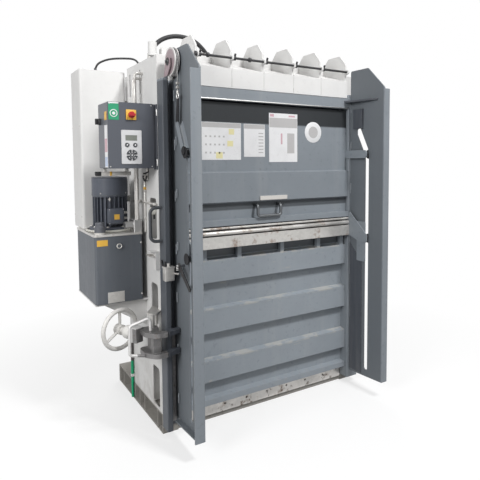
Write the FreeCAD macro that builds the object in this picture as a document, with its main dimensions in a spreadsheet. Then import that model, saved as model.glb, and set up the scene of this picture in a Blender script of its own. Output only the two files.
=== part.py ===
import FreeCAD, Part
import math
import os

import Sketcher

# Recycling baler: a standing press with a swinging door, two tall guide fins and a sliding filling flap.
# Millimetres. X to the right seen from the front, Y to the back, Z up.
# The origin is on the floor under the middle of the chamber.

SIZES = {
    # Standing frame
    "chamber_width": 1200,
    "chamber_depth": 780,
    "side_thickness": 92,
    "rear_thickness": 75,
    "wall_sheet": 8,
    "cladding_sheet": 6,
    "cladding_depth": 525,
    "base_height": 115,
    "beam_sheet": 8,
    "beam_rib_offset": (0, 80, 310, 400, 490, 740, 820),
    "cross_member_width": 60,
    "floor_height": 117,
    "floor_sheet": 12,
    "apron_bottom": 29,
    "apron_sheet": 10,
    "apron_hole_radius": 7,
    "apron_hole_pitch": 150,
    "apron_hole_height": 72,
    "post_top": 2112,
    "post_inner_wall": 185,
    "window_setback": 40,
    "window_width": 110,
    "window_height": 230,
    "window_bottom": 130,
    "window_pitch": 485,
    "window_corner": 25,
    "vent_width": 18,
    "vent_height": 140,
    "vent_bottom": 1930,
    "vent_depth": (270, 460),
    "stub_radius": 24,
    "stub_height": 74,
    "stub_depth": 60,
    "stub_block": 44,
    "rear_rib_width": 70,
    "rear_rib_inset": 75,
    "rear_rib_sheet": 5,
    # Head
    "head_bottom": 1955,
    "head_beam_height": 120,
    "head_beam_width": 90,
    "head_beam_sheet": 10,
    "head_beam_inset": 140,
    "head_plate_sheet": 16,
    "panel_overhang": 65,
    "panel_height": 110,
    "panel_sheet": 5,
    "tray_rear_height": 2130,
    "tray_rear_depth": 210,
    "tray_back_top": 2190,
    "divider_sheet": 10,
    "divider_margin": 120,
    "divider_inset": 10,
    "divider_front_top": 2178,
    "divider_peak": 2240,
    "divider_peak_width": 60,
    "divider_corner": 22,
    "clevis_reach": 29,
    "clevis_half_height": 20,
    "tape_shaft_radius": 7,
    "tape_shaft_height": 2125,
    "tape_shaft_inset": 100,
    "tape_shaft_overhang": 8,
    "tape_lever_length": 27,
    "tape_lever_radius": 6,
    "tape_lever_lean": 35,
    "tape_collar_radius": 13,
    "tape_collar_length": 14,
    "shaft_clearance": 0.05,
    # Press cylinder and ram
    "barrel_radius": 100,
    "barrel_bottom": 1790,
    "barrel_top": 2190,
    "barrel_cap": 28,
    "barrel_flange_radius": 132,
    "barrel_flange": 18,
    "stage_wall": 15,
    "stage_step": 5,
    "stage_gap": 9,
    "ram_side_gap": 10,
    "ram_bottom": 1750,
    "ram_plate": 16,
    "ram_skirt_height": 140,
    "ram_skirt_sheet": 10,
    # Door
    "door_back_gap": 2,
    "door_depth": 78,
    "door_bottom": 45,
    "door_top": 1975,
    "door_sheet": 6,
    "left_post_width": 32,
    "right_post_width": 90,
    "header_bottom": 1882,
    "header_top": 1950,
    "hinge_reach": 23,
    "hinge_pin_radius": 12,
    "hinge_knuckle_radius": 22,
    "hinge_knuckle_height": 70,
    "hinge_lug_height": 45,
    "hinge_level": (300, 1050, 1800),
    "hinge_lug_depth": 70,
    "panel_back_sheet": 8,
    "panel_rib_depth": 40,
    "panel_rib_sheet": 5,
    "panel_rib_slope": 8,
    "panel_top": 1078,
    "window_row_bottom": 975,
    "rib_bottom": (105, 243, 533, 830),
    "rib_top": (155, 385, 688, 975),
    "gusset_inset": (1046, 820, 514, 226, 29),
    "gusset_width": 27,
    # Guide fins
    "fin_offset": 20,
    "fin_sheet": 8,
    "fin_reach": 388,
    "fin_fold": 47,
    "fin_fold_bottom": 114,
    "fin_fold_top": 1984,
    "fin_root_bottom": 95,
    "fin_peak": 2130,
    "fin_peak_depth": 240,
    "fin_slope_top": 1992,
    "fin_bottom_flange": 30,
    "slot_width": 35,
    "slot_depth": 238,
    "slot_bottom": 150,
    "slot_bend": 1600,
    "slot_top": 1747,
    "slot_top_depth": 150,
    # Flap
    "flap_side_gap": 3,
    "flap_gap": 3,
    "flap_sheet": 6,
    "flap_rib_depth": 22,
    "flap_bottom": 1165,
    "flap_lip_top": 1199,
    "flap_rib_bottom": 1300,
    "flap_rib_top": 1470,
    "flap_top": 1872,
    "flap_lip_depth": 31,
    "bar_bottom": 1040,
    "bar_top": 1107,
    "bar_sheet": 8,
    "rod_radius": 7,
    "rod_level": 1152,
    "bracket_sheet": 7,
    "bracket_reach": 26,
    "lower_pin_level": 1030,
    "upper_pin_level": 1580,
    "roller_radius": 17.2,
    "roller_pin_radius": 6,
    "roller_disc_radius": 30,
    "roller_disc_sheet": 3,
    "roller_side_gap": 0.4,
    "roller_length": 26,
    "arm_sheet": 6,
    "arm_elbow_level": 1740,
    "arm_width": 34,
    "hook_level": 1880,
    "slot_cover_bottom": 877,
    "slot_cover_top": 1140,
    "slot_cover_width": 80,
    "slot_cover_sheet": 5,
    "handle_left": -130,
    "handle_right": 50,
    "handle_bottom": 1211,
    "handle_top": 1275,
    "handle_radius": 9,
    "latch_bar_left": -95,
    "latch_bar_right": 100,
    "latch_bar_height": 26,
    "latch_bar_level": 1289,
    "latch_bar_sheet": 6,
    # Rope, pulley and counterweight
    "pulley_offset": 43,
    "pulley_depth": 98,
    "pulley_level": 2058,
    "pulley_radius": 75,
    "pulley_length": 26,
    "pulley_axle_radius": 10,
    "rope_radius": 4,
    "rope_circle": 72,
    "rope_groove_gap": 1,
    "pulley_bracket_width": 60,
    "pulley_bracket_sheet": 6,
    "weight_bottom": 80,
    "weight_length": 500,
    "weight_clearance": 4,
    # Lock
    "lock_reach": 53,
    "lock_depth": 10,
    "lock_pin_radius": 12,
    "lock_bracket_bottom": 470,
    "lock_bracket_top": 710,
    "lock_arm_sheet": 12,
    "hook_sheet": 24,
    "hook_lower_level": 493,
    "hook_upper_level": 603,
    "hook_eye_radius": 34,
    "hook_reach": 120,
    "hook_claw_reach": 11,
    "hook_claw_depth": 140,
    "lug_gap": 3,
    "lug_depth": 58,
    "nut_block_size": 50,
    "nut_block_height": 80,
    "spindle_level": 600,
    "spindle_angle": 21,
    "spindle_radius": 14,
    "spindle_bite": 30,
    "wheel_reach": 188,
    "wheel_depth": 140,
    "wheel_radius": 108,
    "wheel_rim_radius": 12,
    "wheel_hub_radius": 28,
    "wheel_hub_length": 45,
    "spoke_radius": 8,
    "boss_radius": 37,
    "boss_distance": 75,
    "nut_distance": 118,
    "lever_rod_radius": 8,
    # Oil tank and drive
    "tank_reach": 298,
    "tank_width": 268,
    "tank_front": -190,
    "tank_depth": 440,
    "tank_bottom": 735,
    "tank_top": 1117,
    "tank_corner": 14,
    "lid_sheet": 12,
    "lid_overhang": 3,
    "plug_radius": 15,
    "plug_inset": 132,
    "plug_level": 1060,
    "plug_length": 10,
    "motor_inset": 142,
    "motor_y": 10,
    "motor_flange_radius": 118,
    "motor_flange": 20,
    "motor_core_radius": 82,
    "motor_fin_radius": 99,
    "motor_fin_sheet": 4,
    "motor_fin_count": 24,
    "motor_core_top": 1330,
    "motor_shield": 14,
    "cowl_radius": 102,
    "cowl_top": 1445,
    "cowl_sheet": 3,
    "cowl_slot_count": 12,
    "rotor_shaft_radius": 12,
    "rotor_bite": 40,
    "fan_radius": 84,
    "fan_height": 40,
    "fan_blade_count": 7,
    "terminal_box_width": 84,
    "terminal_box_height": 90,
    "terminal_box_depth": 45,
    "filter_radius": 30,
    "filter_height": 66,
    "valve_width": 46,
    "valve_depth": 90,
    "valve_height": 70,
    "solenoid_radius": 20,
    "pipe_radius": 8,
    "pipe_gap": 26,
    "pipe_top": 2040,
    "hose_radius": 13,
    "cable_radius": 6,
    # Pipe cover and cabinet
    "cover_reach": 283,
    "cover_gap": 8,
    "cover_front": 150,
    "cover_rear": 390,
    "cover_top": 2090,
    "cover_corner": 16,
    "cover_arm_width": 30,
    "cover_arm_height": 40,
    "cover_arm_inset": 50,
    "cover_arm_drop": 20,
    "cabinet_reach": 262,
    "cabinet_width": 243,
    "cabinet_front": -380,
    "cabinet_depth": 185,
    "cabinet_bottom": 1499,
    "cabinet_height": 346,
    "cabinet_sheet": 3,
    "cabinet_door_sheet": 14,
    "cabinet_hinge_gap": 6,
    "cabinet_hinge_radius": 5,
    "cabinet_pin_radius": 2.5,
    "cabinet_pin_length": 30,
    "cabinet_ear_height": 14,
    "cabinet_ear_low": 40,
    "cabinet_ear_high": 276,
    "cabinet_arm_height": 220,
    "switch_inset": 122,
    "switch_level": 1781,
    "switch_plate": 52,
    "switch_plate_sheet": 4,
    "switch_knob_radius": 17,
    "switch_knob_depth": 12,
    "switch_grip": 12,
    "switch_stem_radius": 5,
    "keypad_inset": 68,
    "keypad_width": 107,
    "keypad_bottom": 1523,
    "keypad_height": 178,
    "keypad_sheet": 4,
    "display_width": 63,
    "display_height": 30,
    "display_inset": 120,
    "display_level": 1660,
    "display_recess": 1.5,
    "key_stand": 3,
    "key_rest_gap": 1.3,
    "key_side_gap": 0.4,
    "round_key_radius": 11,
    "round_key_level": 1623,
    "round_key_inset": (97, 140),
    "ring_inset": 122,
    "ring_level": 1570,
    "centre_key_radius": 10,
    "ring_inner_radius": 14,
    "ring_outer_radius": 29,
    "ring_key_angle": 72,
    # Small fittings of the frame and the door
    "switch_box_width": 24,
    "switch_box_height": 95,
    "switch_box_bottom": 940,
    "switch_box_depth": 44,
    "stowed_rod_radius": 9,
    "stowed_rod_bottom": 20,
    "stowed_rod_length": 420,
    "stowed_rod_depth": 508,
    "grab_level": (1105, 1287),
    "grab_reach": 65,
    "grab_radius": 9,
    "grab_bend": 32,
    "release_pivot_depth": 170,
    "release_pivot_level": 985,
    "release_length": 107,
    "release_lean": 138,
    "release_width": 26,
    "release_sheet": 6,
    "shelf_level": 1920,
    "shelf_reach": 255,
    "shelf_sheet": 12,
    "strip_top": 868,
    "strip_width": 121,
    "sensor_box_bottom": 1747,
    "sensor_box_height": 128,
    "sensor_box_width": 85,
    "sensor_box_sheet": 14,
}

doc = FreeCAD.newDocument("Baler")
sheet = doc.addObject("Spreadsheet::Sheet", "Sizes")


class Size:
    """A length with its present value and the expression over the sheet that FreeCAD keeps."""

    def __init__(self, text, value):
        self.text = text
        self.value = value

    def __add__(self, other):
        other = as_size(other)
        return Size(f"({self.text} + {other.text})", self.value + other.value)

    def __sub__(self, other):
        other = as_size(other)
        return Size(f"({self.text} - {other.text})", self.value - other.value)

    def __mul__(self, factor):
        factor = as_size(factor)
        return Size(f"({self.text} * {factor.text})", self.value * factor.value)

    def __truediv__(self, divisor):
        divisor = as_size(divisor)
        return Size(f"({self.text} / {divisor.text})", self.value / divisor.value)

    def __radd__(self, other):
        return as_size(other) + self

    def __rsub__(self, other):
        return as_size(other) - self

    def __rmul__(self, other):
        return as_size(other) * self

    def __neg__(self):
        return Size(f"(0 - {self.text})", -self.value)


def as_size(number):
    """The same length as a Size; a plain number stands for itself."""
    if isinstance(number, Size):
        return number
    return Size(f"({number})", float(number))


def fill_sheet():
    """Writes every driving size into the sheet and returns them by name."""
    names = {}
    row = 1
    for name, given in SIZES.items():
        listed = isinstance(given, tuple)
        numbers = given if listed else (given,)
        aliases = [f"{name}_no{k}" for k in range(1, len(numbers) + 1)] if listed else [name]
        for alias, number in zip(aliases, numbers):
            sheet.set(f"A{row}", alias.replace("_", " "))
            sheet.set(f"B{row}", str(number))
            sheet.setAlias(f"B{row}", alias)
            row += 1
        names[name] = aliases if listed else name
    doc.recompute()
    sizes = {}
    for name, alias in names.items():
        if isinstance(alias, list):
            sizes[name] = [Size(f"Sizes.{each}", float(sheet.get(each))) for each in alias]
        else:
            sizes[name] = Size(f"Sizes.{alias}", float(sheet.get(alias)))
    return sizes


class Names:
    """Gives the sizes as attributes."""

    def __init__(self, sizes):
        self.__dict__.update(sizes)


s = Names(fill_sheet())
nodes = []

TURN = {
    "X": FreeCAD.Rotation(FreeCAD.Vector(0, 1, 0), 90),
    "Y": FreeCAD.Rotation(FreeCAD.Vector(1, 0, 0), -90),
    "Z": FreeCAD.Rotation(),
}


def vector(point):
    return FreeCAD.Vector(*(as_size(each).value for each in point))


def place(item, at, rotation=None):
    """Sets the Placement and binds its three coordinates to the sheet."""
    item.Placement = FreeCAD.Placement(vector(at), rotation or FreeCAD.Rotation())
    for axis, length in zip("xyz", at):
        item.setExpression(f"Placement.Base.{axis}", as_size(length).text)
    return item


def box(name, x, y, z):
    """Block between pairs of coordinates."""
    block = doc.addObject("Part::Box", name)
    for side, span in zip(("Length", "Width", "Height"), (x, y, z)):
        block.setExpression(side, (as_size(span[1]) - span[0]).text)
    return place(block, (x[0], y[0], z[0]))


def cylinder(name, radius, length, at, axis="Z", rotation=None):
    """Round bar that starts at a point and runs along an axis."""
    bar = doc.addObject("Part::Cylinder", name)
    bar.setExpression("Radius", as_size(radius).text)
    bar.setExpression("Height", as_size(length).text)
    return place(bar, at, rotation or TURN[axis])


def fuse(name, *pieces):
    joined = doc.addObject("Part::MultiFuse", name)
    joined.Shapes = list(pieces)
    joined.Refine = True
    return joined


def cut(name, base, *tools):
    """Base less one tool or several."""
    taken = doc.addObject("Part::Cut", name)
    taken.Base = base
    taken.Tool = tools[0] if len(tools) == 1 else fuse(f"{name}_tools", *tools)
    return taken


def node(name, item):
    """Marks an object as a finished sub-part under its own label."""
    item.Label = name
    nodes.append(item)
    return item


def sided(side, near, far):
    """Span between two distances from the middle plane, on the left (-1) or the right (1) side."""
    return (as_size(near), as_size(far)) if side > 0 else (-as_size(far), -as_size(near))


def pin_point(sketch, item, end, point):
    """Holds a sketch point at two lengths from the sketch's origin."""
    for kind, length in zip(("DistanceX", "DistanceY"), point):
        length = as_size(length)
        number = sketch.addConstraint(Sketcher.Constraint(kind, item, end, length.value))
        sketch.setExpression(f"Constraints[{number}]", length.text)


def bind_radius(sketch, item, radius):
    radius = as_size(radius)
    number = sketch.addConstraint(Sketcher.Constraint("Radius", item, radius.value))
    sketch.setExpression(f"Constraints[{number}]", radius.text)


def draw_circle(sketch, centre, radius):
    ring = Part.Circle(vector((*centre, 0)), FreeCAD.Vector(0, 0, 1), as_size(radius).value)
    item = sketch.addGeometry(ring)
    pin_point(sketch, item, 3, centre)
    bind_radius(sketch, item, radius)


def draw_outline(sketch, corners):
    """Closed outline through (u, v) corners; a third entry rounds the corner by that radius."""
    count = len(corners)
    points = [vector((*corner[:2], 0)) for corner in corners]
    arrive = []
    leave = []
    middle = []
    for k, corner in enumerate(corners):
        back = (points[k - 1] - points[k]).normalize()
        ahead = (points[(k + 1) % count] - points[k]).normalize()
        radius = as_size(corner[2]).value if len(corner) == 3 else 0
        half_angle = back.getAngle(ahead) / 2
        reach = radius / math.tan(half_angle)
        arrive.append(points[k] + back * reach)
        leave.append(points[k] + ahead * reach)
        inward = (back + ahead).normalize() if radius else back
        middle.append(points[k] + inward * (radius / math.sin(half_angle) - radius))
    lines = [
        sketch.addGeometry(Part.LineSegment(leave[k], arrive[(k + 1) % count])) for k in range(count)
    ]
    for k, corner in enumerate(corners):
        before = lines[k - 1]
        after = lines[k]
        if len(corner) == 2:
            sketch.addConstraint(Sketcher.Constraint("Coincident", before, 2, after, 1))
            pin_point(sketch, after, 1, corner)
            continue
        mark = sketch.addGeometry(Part.Point(points[k]), True)
        pin_point(sketch, mark, 1, corner[:2])
        arc = sketch.addGeometry(Part.Arc(arrive[k], middle[k], leave[k]))
        first = 1 if sketch.getPoint(arc, 1).distanceToPoint(arrive[k]) < 1e-4 else 2
        sketch.addConstraint(Sketcher.Constraint("Tangent", before, 2, arc, first))
        sketch.addConstraint(Sketcher.Constraint("Tangent", after, 1, arc, 3 - first))
        sketch.addConstraint(Sketcher.Constraint("PointOnObject", mark, 1, before))
        sketch.addConstraint(Sketcher.Constraint("PointOnObject", mark, 1, after))
        bind_radius(sketch, arc, corner[2])


def rectangle(u, v, corner=None):
    """Corners of a rectangle between pairs of coordinates, rounded or not."""
    tail = () if corner is None else (corner,)
    return [(u[0], v[0], *tail), (u[1], v[0], *tail), (u[1], v[1], *tail), (u[0], v[1], *tail)]


def circle(centre, radius):
    """A round loop for a sketch, told from an outline by its name."""
    return {"centre": centre, "radius": radius}


def add_sketch(part, plane, loops, level=0):
    """Sketch on one of the body's own origin planes, moved along that plane's normal."""
    sketch = part.newObject("Sketcher::SketchObject", f"{part.Name}_sketch")
    role = f"{plane}_Plane"
    own_plane = [each for each in part.Origin.OriginFeatures if each.Role == role][0]
    sketch.AttachmentSupport = [(own_plane, "")]
    sketch.MapMode = "FlatFace"
    sketch.setExpression("AttachmentOffset.Base.z", as_size(level).text)
    for loop in loops:
        if isinstance(loop, dict):
            draw_circle(sketch, loop["centre"], loop["radius"])
        else:
            draw_outline(sketch, loop)
    return sketch


def plate(name, plane, span, *loops):
    """Body padded from closed loops between two levels of the axis across the plane."""
    part = doc.addObject("PartDesign::Body", name)
    # The front plane's normal points to -Y, so its levels run the other way.
    start = -as_size(span[1]) if plane == "XZ" else span[0]
    sketch = add_sketch(part, plane, loops, start)
    pad = part.newObject("PartDesign::Pad", f"{part.Name}_pad")
    pad.Profile = sketch
    pad.setExpression("Length", (as_size(span[1]) - span[0]).text)
    sketch.Visibility = False
    return part


def turned(name, outline, at=(0, 0, 0)):
    """Body revolved about its own Z axis from an outline of (radius, height) corners."""
    part = doc.addObject("PartDesign::Body", name)
    sketch = add_sketch(part, "XZ", [outline])
    spin = part.newObject("PartDesign::Revolution", f"{part.Name}_spin")
    spin.Profile = sketch
    spin.ReferenceAxis = (sketch, ["V_Axis"])
    spin.Angle = 360
    return place(part, at)


def repeat_around(part, feature, count):
    """Repeats a feature of a body around the body's Z axis."""
    pattern = part.newObject("PartDesign::PolarPattern", f"{part.Name}_ring")
    pattern.Originals = [feature]
    pattern.Axis = ([each for each in part.Origin.OriginFeatures if each.Role == "Z_Axis"][0], [""])
    pattern.Angle = 360
    pattern.setExpression("Occurrences", count.text)
    part.Tip = pattern
    return pattern


def bent_rod(name, points, radius, bends):
    """Round rod along straight runs joined by tangent arcs; bends holds one radius per inner point."""
    places = [vector(point) for point in points]
    edges = []
    start = places[0]
    for k in range(1, len(places) - 1):
        back = (places[k - 1] - places[k]).normalize()
        ahead = (places[k + 1] - places[k]).normalize()
        half_angle = back.getAngle(ahead) / 2
        bend = as_size(bends[k - 1]).value
        reach = bend / math.tan(half_angle)
        inner = places[k] + (back + ahead).normalize() * (bend / math.sin(half_angle) - bend)
        edges.append(Part.LineSegment(start, places[k] + back * reach).toShape())
        edges.append(Part.Arc(places[k] + back * reach, inner, places[k] + ahead * reach).toShape())
        start = places[k] + ahead * reach
    edges.append(Part.LineSegment(start, places[-1]).toShape())
    path = Part.Wire(edges)
    size = as_size(radius).value
    ring = Part.Wire(Part.Circle(places[0], places[1] - places[0], size).toShape())
    rod = doc.addObject("Part::Feature", name)
    rod.Shape = path.makePipeShell([ring], True, False)
    expected = math.pi * size * size * path.Length
    print(f"{name}: volume {rod.Shape.Volume:.0f} of {expected:.0f}")
    return rod


def hose_bends(points):
    """Arc radii as large as the runs of a hose allow, each 0.45 of its shorter run."""
    places = [vector(point) for point in points]
    radii = []
    for k in range(1, len(places) - 1):
        back = places[k - 1] - places[k]
        ahead = places[k + 1] - places[k]
        shorter = min(back.Length, ahead.Length)
        radii.append(0.45 * shorter * math.tan(back.getAngle(ahead) / 2))
    print("hose radii:", [round(radius) for radius in radii])
    return radii


# Levels and faces that several pieces share.
half_chamber = s.chamber_width / 2
half_width = half_chamber + s.side_thickness
front = -s.chamber_depth / 2
chamber_rear = s.chamber_depth / 2
rear = chamber_rear + s.rear_thickness
door_back = front - s.door_back_gap
door_front = door_back - s.door_depth
fin_front = front - s.fin_reach - s.door_back_gap
flap_back = door_back - s.panel_back_sheet - s.panel_rib_depth - s.flap_gap
flap_front = flap_back - s.flap_sheet
slot_middle = front - s.slot_depth - s.door_back_gap
cladding_rear = front + s.cladding_depth
lid_top = s.tank_top + s.lid_sheet
ram_width = s.chamber_width - s.ram_side_gap * 2
ram_depth = s.chamber_depth - s.ram_side_gap * 2
fin_half_gap = half_chamber + s.fin_offset
flap_half_width = half_chamber - s.flap_side_gap
hinge_x = half_width + s.hinge_reach
pulley_x = -half_chamber - s.pulley_offset
lock_x = -half_width - s.lock_reach
claw_x = -half_width - s.hook_claw_reach
wheel_x = -half_width - s.wheel_reach
tank_left = -half_width - s.tank_reach
motor_x = tank_left + s.motor_inset
cover_left = -half_width - s.cover_reach
cover_right = -half_width - s.cover_gap
cabinet_left = -half_width - s.cabinet_reach
switch_x = cabinet_left + s.switch_inset
ring_x = cabinet_left + s.ring_inset
divider_right = half_chamber - s.divider_inset
divider_pitch = (s.chamber_width - s.divider_margin) / 5
# Outer end of the roller pins.
pin_end = fin_half_gap + s.roller_length / 2 + s.arm_sheet
# Outer face of the release lever, which swings outside the rope arm.
release_face = -pin_end - s.arm_sheet - s.release_sheet - 1
spindle_turn = FreeCAD.Rotation(FreeCAD.Vector(0, 0, 1), s.spindle_angle.value)


def base_frame():
    """Two outward channels with ribs, and three members across that the floor rests on."""
    pieces = []
    for side in (-1, 1):
        outward = sided(side, half_chamber, half_width)
        beam_web = sided(side, half_chamber, half_chamber + s.beam_sheet)
        pieces.append(box("beam_web", beam_web, (front, rear), (0, s.base_height)))
        pieces.append(box("beam_foot", outward, (front, rear), (0, s.beam_sheet)))
        top = (s.base_height - s.beam_sheet, s.base_height)
        pieces.append(box("beam_top", outward, (front, rear), top))
        for offset in s.beam_rib_offset:
            rib_y = (front + offset, front + offset + s.beam_sheet)
            pieces.append(box("beam_rib", outward, rib_y, (0, top[1])))
        end = (rear - s.beam_sheet, rear)
        pieces.append(box("beam_end", outward, end, (0, top[1])))
    under_floor = s.floor_height - s.floor_sheet
    half = s.cross_member_width / 2
    middles = (front + s.apron_sheet + half, as_size(0), chamber_rear - half)
    for middle in middles:
        member_y = (middle - half, middle + half)
        pieces.append(box("member", (-half_chamber, half_chamber), member_y, (0, under_floor)))
    return node("base_frame", fuse("base_frame", *pieces))


def floor_plate():
    """Chamber floor with a bored apron in front."""
    under = s.floor_height - s.floor_sheet
    top = box("floor_top", (-half_chamber, half_chamber), (front, chamber_rear), (under, s.floor_height))
    apron_y = (front, front + s.apron_sheet)
    apron = box("apron", (-half_chamber, half_chamber), apron_y, (s.apron_bottom, under))
    holes = []
    for k in range(-3, 4):
        start = (s.apron_hole_pitch * k, front - 1, s.apron_hole_height)
        holes.append(cylinder("apron_hole", s.apron_hole_radius, s.apron_sheet + 2, start, "Y"))
    return node("floor_plate", cut("floor_plate", fuse("floor_solid", top, apron), *holes))


def side_frame(side, name):
    """Chamber wall, windowed outer cladding and the closing plates of the front post."""
    bottom = s.base_height
    wall = (half_chamber, half_chamber + s.wall_sheet)
    gap = (half_chamber + s.wall_sheet, half_width - s.cladding_sheet)
    pieces = [box("wall", sided(side, *wall), (front, rear), (bottom, s.post_top))]
    loops = [rectangle((front, cladding_rear), (bottom, s.post_top))]
    window_y = (front + s.window_setback, front + s.window_setback + s.window_width)
    for k in range(4):
        low = s.window_bottom + s.window_pitch * k
        loops.append(rectangle(window_y, (low, low + s.window_height), s.window_corner))
    for depth in s.vent_depth:
        vent_y = (front + depth, front + depth + s.vent_width)
        vent_z = (s.vent_bottom, s.vent_bottom + s.vent_height)
        loops.append(rectangle(vent_y, vent_z, s.vent_width * 0.45))
    pieces.append(plate("cladding", "YZ", sided(side, gap[1], half_width), *loops))
    inner = front + s.post_inner_wall
    for low in (front, inner, cladding_rear - s.wall_sheet):
        pieces.append(box("closing", sided(side, *gap), (low, low + s.wall_sheet), (bottom, s.post_top)))
    cap_z = (s.post_top - s.wall_sheet, s.post_top)
    pieces.append(box("cap", sided(side, *gap), (front, cladding_rear), cap_z))
    if side < 0:
        at = (-half_width + 1, front + s.stub_depth, s.post_top)
        pieces.append(cylinder("stub", s.stub_radius, s.stub_height, at))
        block_x = (-half_chamber - s.stub_block, -half_chamber)
        block_y = (front + s.window_setback, front + s.window_setback + s.stub_block)
        pieces.append(box("stub_block", block_x, block_y, (s.post_top, s.post_top + s.stub_block)))
    return node(name, fuse(name, *pieces))


def rear_wall():
    """Rear sheet with four hollow upright ribs, one profile along Z."""
    outline = [(-half_chamber, chamber_rear), (half_chamber, chamber_rear)]
    outline.append((half_chamber, chamber_rear + s.wall_sheet))
    loops = []
    half = s.rear_rib_width / 2
    wall = s.rear_rib_sheet
    for place_of_rib in (1, 1 / 3, -1 / 3, -1):
        middle = (half_chamber - s.rear_rib_inset) * place_of_rib
        near = chamber_rear + s.wall_sheet
        outline.extend([(middle + half, near), (middle + half, rear)])
        outline.extend([(middle - half, rear), (middle - half, near)])
        loops.append(rectangle((middle - half + wall, middle + half - wall), (near, rear - wall)))
    outline.append((-half_chamber, chamber_rear + s.wall_sheet))
    return node("rear_wall", plate("rear_wall", "XY", (s.floor_height, s.head_bottom), outline, *loops))


def head_frame():
    """Two box beams between the side frames, tied by plates and a bored top plate."""
    top = s.head_bottom + s.head_beam_height
    pieces = []
    for side in (-1, 1):
        beam_y = sided(side, s.head_beam_inset, s.head_beam_inset + s.head_beam_width)
        beam_z = (s.head_bottom, top)
        wall = s.head_beam_sheet
        inner = rectangle((beam_y[0] + wall, beam_y[1] - wall), (beam_z[0] + wall, beam_z[1] - wall))
        beam_edge = rectangle(beam_y, beam_z)
        pieces.append(plate("head_beam", "YZ", (-half_chamber, half_chamber), beam_edge, inner))
        tie_x = sided(side, s.head_beam_inset, s.head_beam_inset + wall)
        pieces.append(box("head_tie", tie_x, (-s.head_beam_inset, s.head_beam_inset), (s.head_bottom, top)))
    reach = s.head_beam_inset + s.head_beam_width
    top_z = (top, top + s.head_plate_sheet)
    outline = rectangle((-half_chamber, half_chamber), (-reach, reach))
    bored = plate("head_plate", "XY", top_z, outline, circle((0, 0), s.barrel_radius + s.shaft_clearance))
    return node("head_frame", fuse("head_frame", *pieces, bored))


def head_panel():
    """Folded front cover with the tape trays behind it and upright dividers with shaft eyes."""
    face = front - s.panel_overhang
    sheet_top = s.head_bottom + s.panel_height
    tray_rear = -s.tray_rear_depth
    gauge = s.panel_sheet
    fold = [
        (face, s.head_bottom),
        (face, sheet_top),
        (tray_rear - gauge, s.tray_rear_height),
        (tray_rear - gauge, s.tray_back_top),
        (tray_rear, s.tray_back_top),
        (tray_rear, s.tray_rear_height - gauge),
        (face + gauge, sheet_top - gauge),
        (face + gauge, s.head_bottom),
    ]
    pieces = [plate("panel_fold", "YZ", (-half_chamber, half_chamber), fold)]
    foot_z = (s.head_bottom + s.head_beam_height + s.head_plate_sheet, s.tray_rear_height - gauge)
    feet = box("panel_foot", (-half_chamber, half_chamber), (tray_rear - gauge, tray_rear), foot_z)
    pieces.append(feet)
    eye = (face - s.divider_sheet / 2, s.tape_shaft_height)
    shoulder = face + s.divider_sheet
    peak = (shoulder + tray_rear) / 2
    corner = s.divider_corner
    divider = [
        (shoulder, sheet_top + 1),
        (shoulder, eye[1] - s.clevis_half_height),
        (shoulder - s.clevis_reach, eye[1] - s.clevis_half_height / 2, 5),
        (shoulder - s.clevis_reach, eye[1] + s.clevis_half_height / 2, 5),
        (shoulder, eye[1] + s.clevis_half_height),
        (shoulder, s.divider_front_top, corner),
        (peak - s.divider_peak_width, s.divider_peak, corner),
        (peak + s.divider_peak_width, s.divider_peak, corner),
        (tray_rear - gauge, s.tray_back_top),
        (tray_rear - gauge, s.tray_rear_height),
    ]
    bore = circle(eye, s.tape_shaft_radius + s.shaft_clearance)
    for k in range(6):
        left = divider_right - divider_pitch * k
        pieces.append(plate("divider", "YZ", (left, left + s.divider_sheet), divider, bore))
    return node("head_panel", fuse("head_panel", *pieces))


def tape_shaft():
    """Round shaft through the dividers' eyes with a collar and a short lever beside each."""
    y = front - s.panel_overhang - s.divider_sheet / 2
    left = s.tape_shaft_inset - half_chamber
    length = half_chamber + s.tape_shaft_overhang - left
    start = (left, y, s.tape_shaft_height)
    pieces = [cylinder("tape_bar", s.tape_shaft_radius, length, start, "X")]
    lean = FreeCAD.Rotation(FreeCAD.Vector(1, 0, 0), s.tape_lever_lean.value)
    for k in range(1, 6):
        x = divider_right - divider_pitch * k + s.divider_sheet + 2
        at = (x, y, s.tape_shaft_height)
        pieces.append(cylinder("tape_collar", s.tape_collar_radius, s.tape_collar_length, at, "X"))
        foot = (x + s.tape_collar_length / 2, y, s.tape_shaft_height)
        pieces.append(cylinder("tape_lever", s.tape_lever_radius, s.tape_lever_length, foot, rotation=lean))
    return node("tape_shaft", fuse("tape_shaft", *pieces))


def cylinder_set():
    """Telescopic press cylinder: barrel, two stages and the plunger, one inside the other."""
    clearance = s.shaft_clearance
    flange_z = s.head_bottom + s.head_beam_height + s.head_plate_sheet
    bore = s.barrel_radius - s.stage_wall
    barrel = [
        (bore, s.barrel_bottom),
        (s.barrel_radius, s.barrel_bottom),
        (s.barrel_radius, flange_z),
        (s.barrel_flange_radius, flange_z),
        (s.barrel_flange_radius, flange_z + s.barrel_flange),
        (s.barrel_radius, flange_z + s.barrel_flange),
        (s.barrel_radius, s.barrel_top, 6),
        (0, s.barrel_top),
        (0, s.barrel_top - s.barrel_cap),
        (bore, s.barrel_top - s.barrel_cap),
    ]
    node("cylinder_barrel", turned("cylinder_barrel", barrel))
    outside = bore - clearance
    bottom = s.barrel_bottom - s.stage_step
    top = s.barrel_top - s.barrel_cap - s.stage_gap
    for name in ("cylinder_stage_outer", "cylinder_stage_inner"):
        inside = outside - s.stage_wall
        tube = rectangle((inside, outside), (bottom, top))
        node(name, turned(name, tube))
        outside = inside - clearance
        bottom = bottom - s.stage_step
        top = top - s.stage_gap
    plunger = rectangle((0, outside), (s.ram_bottom + s.ram_plate, top))
    node("cylinder_plunger", turned("cylinder_plunger", plunger))


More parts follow.
